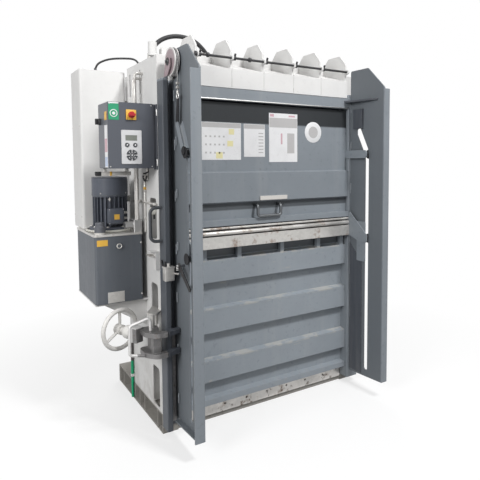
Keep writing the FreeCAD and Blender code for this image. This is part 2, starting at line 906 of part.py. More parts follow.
def ram():
    """Press plate with an upright skirt and cross ribs."""
    x = (-ram_width / 2, ram_width / 2)
    y = (-ram_depth / 2, ram_depth / 2)
    wall = s.ram_skirt_sheet
    base_z = (s.ram_bottom, s.ram_bottom + s.ram_plate)
    skirt_z = (base_z[1], base_z[1] + s.ram_skirt_height)
    inside = rectangle((x[0] + wall, x[1] - wall), (y[0] + wall, y[1] - wall))
    skirt = plate("ram_skirt", "XY", skirt_z, rectangle(x, y), inside)
    pieces = [box("ram_base", x, y, base_z), skirt]
    for side in (-1, 1):
        rib_x = sided(side, ram_width / 4, ram_width / 4 + wall)
        pieces.append(box("ram_rib", rib_x, y, skirt_z))
        rib_y = sided(side, ram_depth / 4, ram_depth / 4 + wall)
        pieces.append(box("ram_rib", x, rib_y, skirt_z))
    return node("ram", fuse("ram", *pieces))


def door_hinges():
    """Frame half of the three door hinges: lug, lower knuckle and standing pin."""
    y = door_back - s.door_depth / 4
    pieces = []
    for level in s.hinge_level:
        low = level - s.hinge_lug_height
        web_x = (half_width, hinge_x - s.lock_depth)
        pieces.append(box("hinge_web", web_x, (y, front + s.hinge_lug_depth), (low, level - 0.5)))
        at = (hinge_x, y, low)
        pieces.append(cylinder("hinge_knuckle", s.hinge_knuckle_radius, s.hinge_lug_height - 0.5, at))
        pin_length = s.hinge_lug_height + s.hinge_knuckle_height + 4
        pieces.append(cylinder("hinge_pin", s.hinge_pin_radius, pin_length, at))
    return node("door_hinges", fuse("door_hinges", *pieces))


def door_frame():
    """Left post with its rope channel, right post, header and the door's knuckles."""
    gauge = s.door_sheet
    left = -half_width
    post_right = left + s.left_post_width
    channel_back = door_back - gauge
    span = (s.door_bottom, s.door_top)
    outline = [
        (left, door_back),
        (left, door_front, gauge),
        (post_right, door_front, gauge),
        (post_right, channel_back),
        (-half_chamber, channel_back),
        (-half_chamber, door_back),
    ]
    hollow = rectangle((left + gauge, post_right - gauge), (door_front + gauge, channel_back))
    pieces = [plate("left_post", "XY", span, outline, hollow)]
    right_x = (half_chamber, half_chamber + s.right_post_width)
    hollow = rectangle((right_x[0] + gauge, right_x[1] - gauge), (door_front + gauge, channel_back))
    outer = rectangle(right_x, (door_front, door_back), gauge * 0.9)
    pieces.append(plate("right_post", "XY", span, outer, hollow))
    header = [
        (door_front, s.header_bottom),
        (door_front, s.header_top),
        (door_back, s.header_top),
        (door_back, s.header_top - gauge),
        (door_front + gauge, s.header_top - gauge),
        (door_front + gauge, s.header_bottom + gauge),
        (door_back, s.header_bottom + gauge),
        (door_back, s.header_bottom),
    ]
    pieces.append(plate("header", "YZ", (-half_chamber, half_chamber), header))
    y = door_back - s.door_depth / 4
    for level in s.hinge_level:
        height = (level, level + s.hinge_knuckle_height)
        web = box("door_web", (right_x[1], hinge_x), (y - s.hinge_knuckle_radius, door_back), height)
        knuckle = cylinder("door_knuckle", s.hinge_knuckle_radius, s.hinge_knuckle_height,
                           (hinge_x, y, level))
        bore = cylinder("door_bore", s.hinge_pin_radius + s.shaft_clearance, s.hinge_knuckle_height,
                        (hinge_x, y, level))
        pieces.append(cut("door_hinge", fuse("door_hinge_solid", web, knuckle), bore))
    return node("door_frame", fuse("door_frame", *pieces))


def door_panel():
    """Lower door sheet with four box ribs as one profile, and a row of upright gussets above."""
    plane = door_back - s.panel_back_sheet
    face = plane - s.panel_rib_depth
    slope = s.panel_rib_slope
    gauge = s.panel_rib_sheet
    outline = [(door_back, s.rib_bottom[0]), (door_back, s.panel_top)]
    outline += [(face, s.panel_top), (face, s.panel_top - gauge), (plane, s.panel_top - gauge)]
    hollows = []
    for low, high in reversed(list(zip(s.rib_bottom, s.rib_top))):
        outline += [(plane, high), (face, high - slope), (face, low + slope), (plane, low)]
        hollows.append([
            (plane, high - gauge),
            (plane, low + gauge),
            (face + gauge, low + slope + gauge),
            (face + gauge, high - slope - gauge),
        ])
    outline.pop()
    outline.append((plane, s.rib_bottom[0]))
    pieces = [plate("panel_profile", "YZ", (-half_chamber, half_chamber), outline, *hollows)]
    for inset in s.gusset_inset:
        middle = half_chamber - inset
        half = s.gusset_width / 2
        gusset_z = (s.window_row_bottom - slope, s.panel_top - gauge)
        pieces.append(box("gusset", (middle - half, middle + half), (face, plane), gusset_z))
    return node("door_panel", fuse("door_panel", *pieces))


def fin(side, name):
    """Tall guide plate with a curved-top slot, a front fold and a bottom flange."""
    root = door_front if side > 0 else door_back - s.door_sheet
    half = s.slot_width / 2
    peak_front = door_front - s.fin_peak_depth + s.door_depth
    outline = [
        (door_front, s.fin_root_bottom),
        (fin_front, s.fin_fold_bottom),
        (fin_front, s.fin_slope_top),
        (peak_front, s.fin_peak, 12),
        (door_front, s.fin_peak, 12),
    ]
    if side < 0:
        outline += [(door_front, s.door_top), (root, s.door_top), (root, s.fin_root_bottom)]
    slot_end = front - s.slot_top_depth - s.door_back_gap
    bend = s.slot_width * 3
    slot = [
        (slot_middle + half, s.slot_bottom, half * 0.9),
        (slot_middle + half, s.slot_bend - s.slot_width, bend),
        (slot_end + half, s.slot_top - half, half * 0.9),
        (slot_end - half, s.slot_top + half, half * 0.9),
        (slot_middle - half, s.slot_bend, bend),
        (slot_middle - half, s.slot_bottom, half * 0.9),
    ]
    web_x = sided(side, fin_half_gap, fin_half_gap + s.fin_sheet)
    if side < 0:
        web_x = (-fin_half_gap, s.fin_sheet - fin_half_gap)
    web = plate("fin_web", "YZ", web_x, outline, slot)
    fold_x = sided(side, fin_half_gap, fin_half_gap + s.fin_fold)
    fold = box("fin_fold", fold_x, (fin_front, fin_front + s.fin_sheet), (s.fin_fold_bottom, s.fin_fold_top))
    flange_x = sided(side, fin_half_gap, fin_half_gap + s.fin_bottom_flange)
    flange_outline = [
        (door_front, s.fin_root_bottom),
        (fin_front, s.fin_fold_bottom),
        (fin_front, s.fin_fold_bottom + s.fin_sheet),
        (door_front, s.fin_root_bottom + s.fin_sheet),
    ]
    flange = plate("fin_flange", "YZ", flange_x, flange_outline)
    return node(name, fuse(name, web, fold, flange))


def fin_fittings():
    """What is welded to the fins and posts: pulley carrier, keeper lugs, shelf, strip and sensor box."""
    y = front - s.pulley_depth - s.door_back_gap
    left = -half_width
    post_right = left + s.left_post_width
    half = s.pulley_bracket_width / 2
    carrier_x = (post_right - s.pulley_bracket_sheet - 2, post_right - 2)
    carrier = plate("pulley_carrier", "YZ", carrier_x, [
        (door_front, s.door_top),
        (y - half, s.pulley_level - half, 8),
        (y - half, s.pulley_level + s.pulley_axle_radius * 2, half * 0.5),
        (y + half, s.pulley_level + s.pulley_axle_radius * 2, half * 0.5),
        (y + half * 2, s.door_top),
    ])
    axle = cylinder("pulley_axle", s.pulley_axle_radius, -fin_half_gap - carrier_x[0],
                    (carrier_x[0], y, s.pulley_level), "X")
    pieces = [carrier, axle]
    claw = claw_x + s.lug_gap
    tip = -fin_half_gap - 2
    for level in (s.hook_lower_level, s.hook_upper_level):
        lug = plate("keeper_lug", "XY", (level, level + s.hook_sheet), [
            (left, door_front),
            (claw, door_front - s.lug_gap * 2),
            (claw, door_front - s.lug_depth, 6),
            (tip, door_front - s.lug_depth / 2, 4),
            (tip, door_front - s.lug_gap),
            (post_right, door_front),
        ])
        pieces.append(lug)
    inner = fin_half_gap
    shelf = plate("shelf", "XY", (s.shelf_level, s.shelf_level + s.shelf_sheet), [
        (inner, door_front),
        (inner, door_front - s.shelf_reach),
        (inner - s.shelf_sheet, door_front - s.shelf_reach),
        (inner - s.shelf_sheet * 5, door_front),
    ])
    strip = plate("strip", "YZ", (inner - 4, inner), [
        (door_front, s.fin_fold_bottom),
        (door_front - s.strip_width, s.fin_fold_bottom),
        (door_front - s.strip_width, s.strip_top),
        (door_front, s.strip_top + s.strip_width),
    ])
    sensor_y = (slot_middle + s.slot_width, slot_middle + s.slot_width + s.sensor_box_width)
    sensor_z = (s.sensor_box_bottom, s.sensor_box_bottom + s.sensor_box_height)
    sensor = box("sensor_box", (inner - s.sensor_box_sheet, inner), sensor_y, sensor_z)
    pivot_y = front - s.release_pivot_depth - s.door_back_gap
    pivot_at = (release_face - 4, pivot_y, s.release_pivot_level)
    pivot = cylinder("release_pivot", s.roller_pin_radius, -fin_half_gap - pivot_at[0], pivot_at, "X")
    return node("fin_fittings", fuse("fin_fittings", *pieces, shelf, strip, sensor, pivot))


def release_lever():
    """Flat lever on the outer side of the left fin."""
    y = front - s.release_pivot_depth - s.door_back_gap
    z = s.release_pivot_level
    half = s.release_width / 2
    foot = (y - s.release_lean, z - s.release_length)
    outline = [
        (y - half * 1.3, z, half),
        (foot[0] - half * 0.5, foot[1] + half * 0.7, half * 0.6),
        (foot[0] + half * 0.5, foot[1] - half * 0.7, half * 0.6),
        (y + half * 0.7, z - half, half),
        (y + half * 1.2, z + half * 0.7, half * 0.7),
        (y, z + half * 1.4, half * 0.7),
    ]
    bore = circle((y, z), s.roller_pin_radius + s.shaft_clearance)
    span = (release_face, release_face + s.release_sheet)
    lever = plate("release_lever", "YZ", span, outline, bore)
    return node("release_lever", lever)


def grab_handle():
    """Bent tube on the outer face of the left post."""
    y = door_back - s.door_depth / 2
    low, high = s.grab_level
    out = -half_width - s.grab_reach
    points = [(-half_width, y, low), (out, y, low), (out, y, high), (-half_width, y, high)]
    bends = [s.grab_bend, s.grab_bend]
    return node("grab_handle", bent_rod("grab_handle", points, s.grab_radius, bends))


def flap_panel():
    """Flap sheet with its step, box rib and lower lip as one folded profile."""
    face = flap_back - s.flap_rib_depth - s.flap_sheet
    gauge = s.flap_sheet
    slope = gauge
    outline = [
        (flap_back, s.flap_bottom),
        (flap_back, s.flap_top),
        (flap_front, s.flap_top),
        (flap_front, s.flap_rib_top + slope),
        (face, s.flap_rib_top),
        (face, s.flap_rib_bottom),
        (flap_front, s.flap_rib_bottom - slope),
        (flap_front, s.flap_lip_top),
        (flap_front - s.flap_lip_depth, s.flap_lip_top),
        (flap_front - s.flap_lip_depth, s.flap_bottom),
    ]
    hollow = rectangle((face + gauge, flap_front), (s.flap_rib_bottom + gauge, s.flap_rib_top - gauge))
    span = (-flap_half_width, flap_half_width)
    return node("flap_panel", plate("flap_panel", "YZ", span, outline, hollow))


def flap_handle():
    """Latch bar on the flap's sheet with a bail handle bent from round bar."""
    face = flap_front
    bar_low = s.latch_bar_level + s.latch_bar_height / 2 - 2
    rib_face = flap_back - s.flap_rib_depth - s.flap_sheet
    bar_x = (s.latch_bar_left, s.latch_bar_right)
    bar_z = (bar_low, bar_low + s.latch_bar_height + 2)
    bar = box("latch_bar", bar_x, (rib_face - s.latch_bar_sheet, rib_face), bar_z)
    grip_y = rib_face - s.handle_radius - s.latch_bar_sheet * 2
    left = s.handle_left + s.handle_radius
    right = s.handle_right - s.handle_radius
    points = [
        (left, face, s.handle_top),
        (left, grip_y, s.handle_top),
        (left, grip_y, s.handle_bottom),
        (right, grip_y, s.handle_bottom),
        (right, grip_y, s.handle_top),
        (right, face, s.handle_top),
    ]
    bend = s.handle_radius * 1.6
    bail = bent_rod("bail", points, s.handle_radius, [bend] * 4)
    return node("flap_handle", fuse("flap_handle", bar, bail))


def flap_bars():
    """Thin rod and wide guard bar across the foot of the flap."""
    lip = flap_front - s.flap_lip_depth
    rod_y = lip + s.rod_radius
    span = (-flap_half_width, flap_half_width)
    rod = cylinder("foot_rod", s.rod_radius, flap_half_width * 2, (span[0], rod_y, s.rod_level), "X")
    bar = box("guard_bar", span, (lip - s.bar_sheet, lip), (s.bar_bottom, s.bar_top))
    return node("flap_bars", fuse("flap_bars", rod, bar))


def flap_brackets():
    """End plates with roller pins, the slot cover on the right and the rope arm on the left."""
    lip = flap_front - s.flap_lip_depth
    tip = slot_middle - s.bracket_reach
    gauge = s.bracket_sheet
    half = s.bracket_reach
    pieces = []
    for side in (-1, 1):
        x = sided(side, flap_half_width, flap_half_width + gauge)
        lower = [
            (door_front - gauge, s.flap_lip_top),
            (door_front - gauge, s.bar_bottom),
            (slot_middle + half, s.lower_pin_level - half),
            (tip, s.lower_pin_level - half, half * 0.8),
            (tip, s.lower_pin_level + half, half * 0.8),
            (lip - s.bar_sheet, s.flap_lip_top),
        ]
        upper = [
            (flap_front, s.upper_pin_level + half),
            (flap_front, s.upper_pin_level - half),
            (tip, s.upper_pin_level - half, half * 0.8),
            (tip, s.upper_pin_level + half, half * 0.8),
        ]
        pieces.append(plate("lower_bracket", "YZ", x, lower))
        inner = flap_half_width - gauge
        pieces.append(plate("upper_bracket", "YZ", sided(side, inner, flap_half_width), upper))
        for level, near in ((s.lower_pin_level, flap_half_width), (s.upper_pin_level, inner)):
            at = (sided(side, near, pin_end)[0], slot_middle, level)
            pieces.append(cylinder("roller_pin", s.roller_pin_radius, pin_end - near, at, "X"))
            disc_x = sided(side, pin_end - s.roller_disc_sheet, pin_end)[0]
            disc_at = (disc_x, slot_middle, level)
            disc = cylinder("roller_disc", s.roller_disc_radius, s.roller_disc_sheet, disc_at, "X")
            pieces.append(disc)
    hook_y = front - s.pulley_depth - s.door_back_gap - s.rope_circle
    wide = s.arm_width / 2
    arm = plate("rope_arm", "YZ", (-pin_end - s.arm_sheet, -pin_end), [
        (slot_middle - wide, s.upper_pin_level, wide * 0.8),
        (slot_middle + wide, s.upper_pin_level - wide, wide * 0.8),
        (hook_y + wide * 2, s.arm_elbow_level - wide, wide),
        (hook_y + wide / 2, s.hook_level - 0.3),
        (hook_y - wide / 2, s.hook_level - 0.3),
        (hook_y, s.arm_elbow_level, wide),
    ])
    half_cover = s.slot_cover_width / 2
    cover_y = (slot_middle + s.slot_width - half_cover, slot_middle + s.slot_width + half_cover)
    cover_x = (flap_half_width + gauge, flap_half_width + gauge + s.slot_cover_sheet)
    cover_edge = rectangle(cover_y, (s.slot_cover_bottom, s.slot_cover_top), gauge)
    cover = plate("slot_cover", "YZ", cover_x, cover_edge)
    return node("flap_brackets", fuse("flap_brackets", *pieces, arm, cover))


def flap_rollers():
    """Four rollers on the bracket pins, two in each slot."""
    count = 0
    for side in (-1, 1):
        for level in (s.lower_pin_level, s.upper_pin_level):
            count += 1
            outer = pin_end - s.roller_disc_sheet - s.roller_side_gap
            span = sided(side, outer - s.roller_length, outer)
            at = (span[0], slot_middle, level)
            wheel = cylinder("roller", s.roller_radius, s.roller_length, at, "X")
            bore = cylinder("roller_bore", s.roller_pin_radius + s.shaft_clearance, s.roller_length, at, "X")
            node(f"flap_roller_{count}", cut(f"flap_roller_{count}", wheel, bore))


def rope_pulley():
    """Grooved pulley, revolved and laid on the X axis."""
    radius = s.pulley_radius
    half = s.pulley_length / 2
    throat = s.rope_circle - s.rope_radius - s.rope_groove_gap / 2
    groove = s.rope_radius + s.rope_groove_gap
    bore = s.pulley_axle_radius + s.shaft_clearance
    outline = [
        (bore, -half),
        (radius, -half, 2),
        (radius, -groove - 2),
        (throat, -groove),
        (throat, groove),
        (radius, groove + 2),
        (radius, half, 2),
        (bore, half),
    ]
    y = front - s.pulley_depth - s.door_back_gap
    wheel = turned("rope_pulley", outline)
    return node("rope_pulley", place(wheel, (pulley_x, y, s.pulley_level), TURN["X"]))


def ropes():
    """The two straight falls of the rope, in front of the pulley and behind it."""
    y = front - s.pulley_depth - s.door_back_gap
    front_fall = (pulley_x, y - s.rope_circle, s.hook_level)
    node("rope_front", cylinder("rope_front", s.rope_radius, s.pulley_level - s.hook_level, front_fall))
    weight_top = s.weight_bottom + s.weight_length
    rear_fall = (pulley_x, y + s.rope_circle, weight_top)
    node("rope_rear", cylinder("rope_rear", s.rope_radius, s.pulley_level - weight_top, rear_fall))


def counterweight():
    """Long bar with chamfered ends in the left post's channel."""
    gap = s.weight_clearance
    x = (-half_width + s.left_post_width + gap, -fin_half_gap - gap)
    back = door_back - s.door_sheet - gap
    depth = front - s.pulley_depth - s.door_back_gap + s.rope_circle - (back - s.door_back_gap)
    y = (back + depth * 2, back)
    span = (s.weight_bottom, s.weight_bottom + s.weight_length)
    body = plate("counterweight", "XY", span, rectangle(x, y, gap))
    return node("counterweight", body)


def lock_bracket():
    """Two arms on the side frame that hold the lock's pin."""
    x = lock_x
    y = front - s.lock_depth
    reach = s.hook_eye_radius - s.lock_pin_radius
    arm = [
        (-half_width, front + s.wall_sheet / 2),
        (-half_width, front + s.window_width),
        (-half_width - s.lock_pin_radius, front + s.window_width),
        (x - reach, y + reach, reach * 0.6),
        (x - reach, y - reach, reach * 0.9),
        (x + reach, y - reach, reach * 0.9),
    ]
    pieces = []
    for low in (s.lock_bracket_bottom, s.lock_bracket_top - s.lock_arm_sheet):
        pieces.append(plate("lock_arm", "XY", (low, low + s.lock_arm_sheet), arm))
    back_y = (front + s.window_width / 2, front + s.window_width)
    back = box("lock_back", (-half_width - s.lock_pin_radius, -half_width), back_y,
               (s.lock_bracket_bottom, s.lock_bracket_top))
    pin = cylinder("lock_pin", s.lock_pin_radius, s.lock_bracket_top - s.lock_bracket_bottom,
                   (x, y, s.lock_bracket_bottom))
    return node("lock_bracket", fuse("lock_bracket", *pieces, back, pin))


def along_spindle(distance):
    """Point on the spindle's axis, measured from the handwheel towards the hooks."""
    turn = math.radians(s.spindle_angle.value)
    x = wheel_x + distance * math.sin(turn)
    y = front + s.wheel_depth - distance * math.cos(turn)
    return (x, y, s.spindle_level)


def hook_plates():
    """Two crescent hooks on one hub, with the spindle's nut block and a bent rod handle."""
    x = lock_x
    y = front - s.lock_depth
    eye = s.hook_eye_radius
    claw_tip = y - s.hook_claw_depth + s.lock_depth
    left = -half_width - s.hook_reach
    bore = circle((x, y), s.lock_pin_radius + s.shaft_clearance)
    crescent = [
        (claw_x, claw_tip, 6),
        (claw_x, claw_tip + eye, 4),
        (x + eye * 0.2, claw_tip + eye * 1.7, 12),
        (x + eye * 0.7, y - eye, 12),
        (x + eye, y + eye, eye * 0.6),
        (left, y + eye, eye * 0.8),
        (left, y - eye * 2, eye * 1.4),
        (x - eye * 0.7, claw_tip, eye * 1.2),
    ]
    pieces = []
    for level in (s.hook_lower_level, s.hook_upper_level):
        pieces.append(plate("crescent", "XY", (level, level + s.hook_sheet), crescent, bore))
    between = (s.hook_lower_level + s.hook_sheet, s.hook_upper_level)
    pieces.append(plate("hook_hub", "XY", between, circle((x, y), eye * 0.8), bore))
    tie_y = (y - eye * 3, y - eye * 2)
    pieces.append(box("hook_tie", (left + eye, x + eye * 0.3), tie_y, between))
    half = s.nut_block_size / 2
    middle = along_spindle(s.nut_distance + half)
    block_z = (-s.nut_block_height / 2, s.nut_block_height / 2)
    block = plate("nut_block", "XY", block_z, rectangle((-half, half), (-half, half), 5))
    place(block, middle, spindle_turn)
    mouth = along_spindle(s.nut_distance + s.spindle_bite)
    lie = spindle_turn * TURN["Y"]
    hole = cylinder("nut_bore", s.spindle_radius + s.shaft_clearance, s.spindle_bite + 1, mouth, rotation=lie)
    solid = cut("hooks", fuse("hook_solid", *pieces, block), hole)
    rod_y = y - eye * 2
    top = s.hook_upper_level + s.hook_sheet
    start = (x - eye, rod_y, top)
    points = [
        start,
        (x - eye - 3, rod_y, top + eye * 2.3),
        (left - eye * 2.3, rod_y, top + eye * 1.5),
        (left - eye * 2.4, rod_y, s.hook_lower_level + s.hook_sheet + 5),
        (left - 2, rod_y, s.hook_lower_level + s.hook_sheet / 2),
    ]
    bend = s.lever_rod_radius * 2.2
    handle = bent_rod("lock_handle", points, s.lever_rod_radius, [bend] * 3)
    return node("hook_plates", fuse("hook_plates", solid, handle))


def spindle_and_wheel():
    """Round spindle with a ball boss, and a spoked handwheel on its outer end."""
    lie = spindle_turn * TURN["Y"]
    hub_half = s.wheel_hub_length / 2
    inner = along_spindle(s.nut_distance + s.spindle_bite - 1)
    length = s.nut_distance + s.spindle_bite - 1 - hub_half
    bar = cylinder("spindle_bar", s.spindle_radius, length, inner, rotation=lie)
    ball = doc.addObject("Part::Sphere", "spindle_ball")
    ball.setExpression("Radius", s.boss_radius.text)
    place(ball, along_spindle(s.boss_distance))
    node("lock_spindle", fuse("lock_spindle", bar, ball))
    rim = doc.addObject("Part::Torus", "wheel_rim")
    rim.setExpression("Radius1", s.wheel_radius.text)
    rim.setExpression("Radius2", s.wheel_rim_radius.text)
    place(rim, along_spindle(0), lie)
    hub = cylinder("wheel_hub", s.wheel_hub_radius, s.wheel_hub_length, along_spindle(hub_half), rotation=lie)
    pieces = [rim, hub]
    for k in range(3):
        spin = FreeCAD.Rotation(FreeCAD.Vector(0, 0, 1), 120 * k + 30)
        across = lie * spin * TURN["X"]
        spoke = cylinder("wheel_spoke", s.spoke_radius, s.wheel_radius, along_spindle(0), rotation=across)
        pieces.append(spoke)
    return node("handwheel", fuse("handwheel", *pieces))


def oil_tank():
    """Rounded tank with its filler plug, and the lid with the motor's seat."""
    x = (tank_left, tank_left + s.tank_width)
    y = (s.tank_front, s.tank_front + s.tank_depth)
    shell = plate("tank_shell", "XY", (s.tank_bottom, s.tank_top), rectangle(x, y, s.tank_corner))
    plug_at = (tank_left + s.plug_inset, y[0] - s.plug_length, s.plug_level)
    plug = cylinder("plug", s.plug_radius, s.plug_length, plug_at, "Y")
    node("oil_tank", fuse("oil_tank", shell, plug))
    over = s.lid_overhang
    rim = rectangle((x[0] - over, x[1] + over), (y[0] - over, y[1] + over), s.tank_corner)
    lid = plate("lid", "XY", (s.tank_top, lid_top), rim)
    seat_at = (motor_x, s.motor_y, lid_top)
    seat = cylinder("lid_seat", s.motor_flange_radius + s.lid_sheet, s.lid_sheet / 2, seat_at)
    node("tank_lid", fuse("tank_lid", lid, seat, return_filter()))


def motor():
    """Finned motor with its terminal box, the slotted fan cowl, and the shaft with its fan."""
    seat = lid_top + s.lid_sheet / 2
    core_bottom = seat + s.motor_flange
    at = (motor_x, s.motor_y, 0)
    bore = s.rotor_shaft_radius + s.shaft_clearance
    shield_top = s.motor_core_top + s.motor_shield
    body = turned("motor_core", [
        (0, seat),
        (s.motor_flange_radius, seat),
        (s.motor_flange_radius, core_bottom, 4),
        (s.motor_core_radius, core_bottom),
        (s.motor_core_radius, s.motor_core_top),
        (s.motor_fin_radius, s.motor_core_top),
        (s.motor_fin_radius, shield_top),
        (bore, shield_top),
        (bore, shield_top - s.rotor_bite),
        (0, shield_top - s.rotor_bite),
    ], at)
    half = s.motor_fin_sheet / 2
    blade = rectangle((s.motor_core_radius - 2, s.motor_fin_radius), (-half, half))
    fins = plate("motor_fins", "XY", (core_bottom, s.motor_core_top), blade)
    repeat_around(fins, fins.Tip, s.motor_fin_count)
    place(fins, at)
    box_half = s.terminal_box_width / 2
    near = s.motor_y - s.motor_core_radius
    low = core_bottom + s.motor_flange
    terminal = plate("terminal_box", "XZ", (near - s.terminal_box_depth, near + 6), rectangle(
        (motor_x - box_half, motor_x + box_half), (low, low + s.terminal_box_height), 8))
    node("motor_body", fuse("motor_body", body, fins, terminal))

    gauge = s.cowl_sheet
    cowl = turned("fan_cowl", [
        (s.cowl_radius - gauge, shield_top - s.motor_shield / 2),
        (s.cowl_radius, shield_top - s.motor_shield / 2),
        (s.cowl_radius, s.cowl_top, 14),
        (0, s.cowl_top),
        (0, s.cowl_top - gauge),
        (s.cowl_radius - gauge, s.cowl_top - gauge, 11),
    ], at)
    slot_x = (s.cowl_radius * 0.3, s.cowl_radius * 0.78)
    slot = rectangle(slot_x, (-s.cowl_sheet * 2, s.cowl_sheet * 2), s.cowl_sheet)
    grille = add_sketch(cowl, "XY", [slot], s.cowl_top + 1)
    pocket = cowl.newObject("PartDesign::Pocket", "cowl_slot")
    pocket.Profile = grille
    pocket.setExpression("Length", (s.cowl_sheet * 3).text)
    repeat_around(cowl, pocket, s.cowl_slot_count)
    node("fan_cowl", cowl)

    fan_low = shield_top + s.lid_sheet
    shaft = cylinder("rotor_shaft", s.rotor_shaft_radius, s.rotor_bite + s.lid_sheet + s.fan_height - 1,
                     (motor_x, s.motor_y, shield_top - s.rotor_bite + 1))
    disc = cylinder("fan_disc", s.fan_radius * 0.6, 4, (motor_x, s.motor_y, fan_low))
    blade = rectangle((s.rotor_shaft_radius / 2, s.fan_radius), (-half, half))
    blades = plate("fan_blades", "XY", (fan_low, fan_low + s.fan_height), blade)
    repeat_around(blades, blades.Tip, s.fan_blade_count)
    place(blades, at)
    node("motor_rotor", fuse("motor_rotor", shaft, disc, blades))


def return_filter():
    """Stepped filter cap at the lid's left front corner."""
    filter_x = tank_left + s.filter_radius * 1.4
    filter_y = s.tank_front + s.filter_radius * 1.6
    cap = [
        (0, 0),
        (s.filter_radius, 0),
        (s.filter_radius, s.filter_height * 0.6),
        (s.filter_radius * 0.8, s.filter_height * 0.7),
        (s.filter_radius * 0.8, s.filter_height, 5),
        (0, s.filter_height),
    ]
    return turned("return_filter", cap, (filter_x, filter_y, lid_top))


def hydraulics():
    """Valve block on the lid, rigid pipes up the side, the hose over the head and the cover's cable."""
    right = tank_left + s.tank_width
    valve_front = s.tank_front + s.lid_overhang * 2
    valve_y = (valve_front, valve_front + s.valve_depth)
    valve_edge = rectangle((right - s.valve_width, right), valve_y, 4)
    block = plate("valve", "XY", (lid_top, lid_top + s.valve_height), valve_edge)
    coil_z = lid_top + s.valve_height * 0.6
    coil_at = (right - s.valve_width * 2, valve_front + s.solenoid_radius * 1.2, coil_z)
    coil = cylinder("solenoid", s.solenoid_radius, s.valve_width, coil_at, "X")
    node("valve_block", fuse("valve_block", block, coil))

    pipe_x = right - s.pipe_radius * 2
    pipes = []
    for k in (0, 1):
        y = valve_y[0] + s.pipe_gap * (k + 1)
        run = [
            (pipe_x, y, lid_top + s.valve_height),
            (pipe_x, y, s.pipe_top - s.pipe_gap * k),
            (-half_width, y, s.pipe_top - s.pipe_gap * k),
        ]
        pipes.append(bent_rod(f"pipe_{k + 1}", run, s.pipe_radius, [s.pipe_radius * 2]))
    node("oil_pipes", fuse("oil_pipes", *pipes))

    x = -half_chamber - s.side_thickness / 2
    hose_y = front + s.post_inner_wall + s.hose_radius * 3
    hose_end = s.head_bottom + s.head_beam_height + s.head_plate_sheet
    hose = [
        (x, hose_y, s.post_top),
        (x, hose_y, s.post_top + 60),
        (x + 55, hose_y - 6, s.post_top + 132),
        (x + 150, hose_y - 12, s.post_top + 168),
        (x + 262, hose_y - 14, s.post_top + 158),
        (x + 345, hose_y - 9, s.post_top + 96),
        (x + 376, hose_y - 4, hose_end + 58),
        (x + 376, hose_y - 4, hose_end),
    ]
    node("hydraulic_hose", bent_rod("hydraulic_hose", hose, s.hose_radius, hose_bends(hose)))

    cable_start = (cover_left + 110, s.cover_front + 60, s.cover_top)
    cable = [
        cable_start,
        (cover_left + 110, s.cover_front + 60, s.cover_top + 42),
        (cover_left + 165, s.cover_front + 8, s.cover_top + 72),
        (cover_left + 232, s.cover_front - 42, s.cover_top + 78),
        (x, s.cover_front - 108, s.post_top + 50),
        (x, s.cover_front - 108, s.post_top),
    ]
    node("cover_cable", bent_rod("cover_cable", cable, s.cable_radius, hose_bends(cable)))


def pipe_cover():
    """Tall closed housing behind the motor."""
    outline = rectangle((cover_left, cover_right), (s.cover_front, s.cover_rear), s.cover_corner)
    return node("pipe_cover", plate("pipe_cover", "XY", (lid_top, s.cover_top), outline))


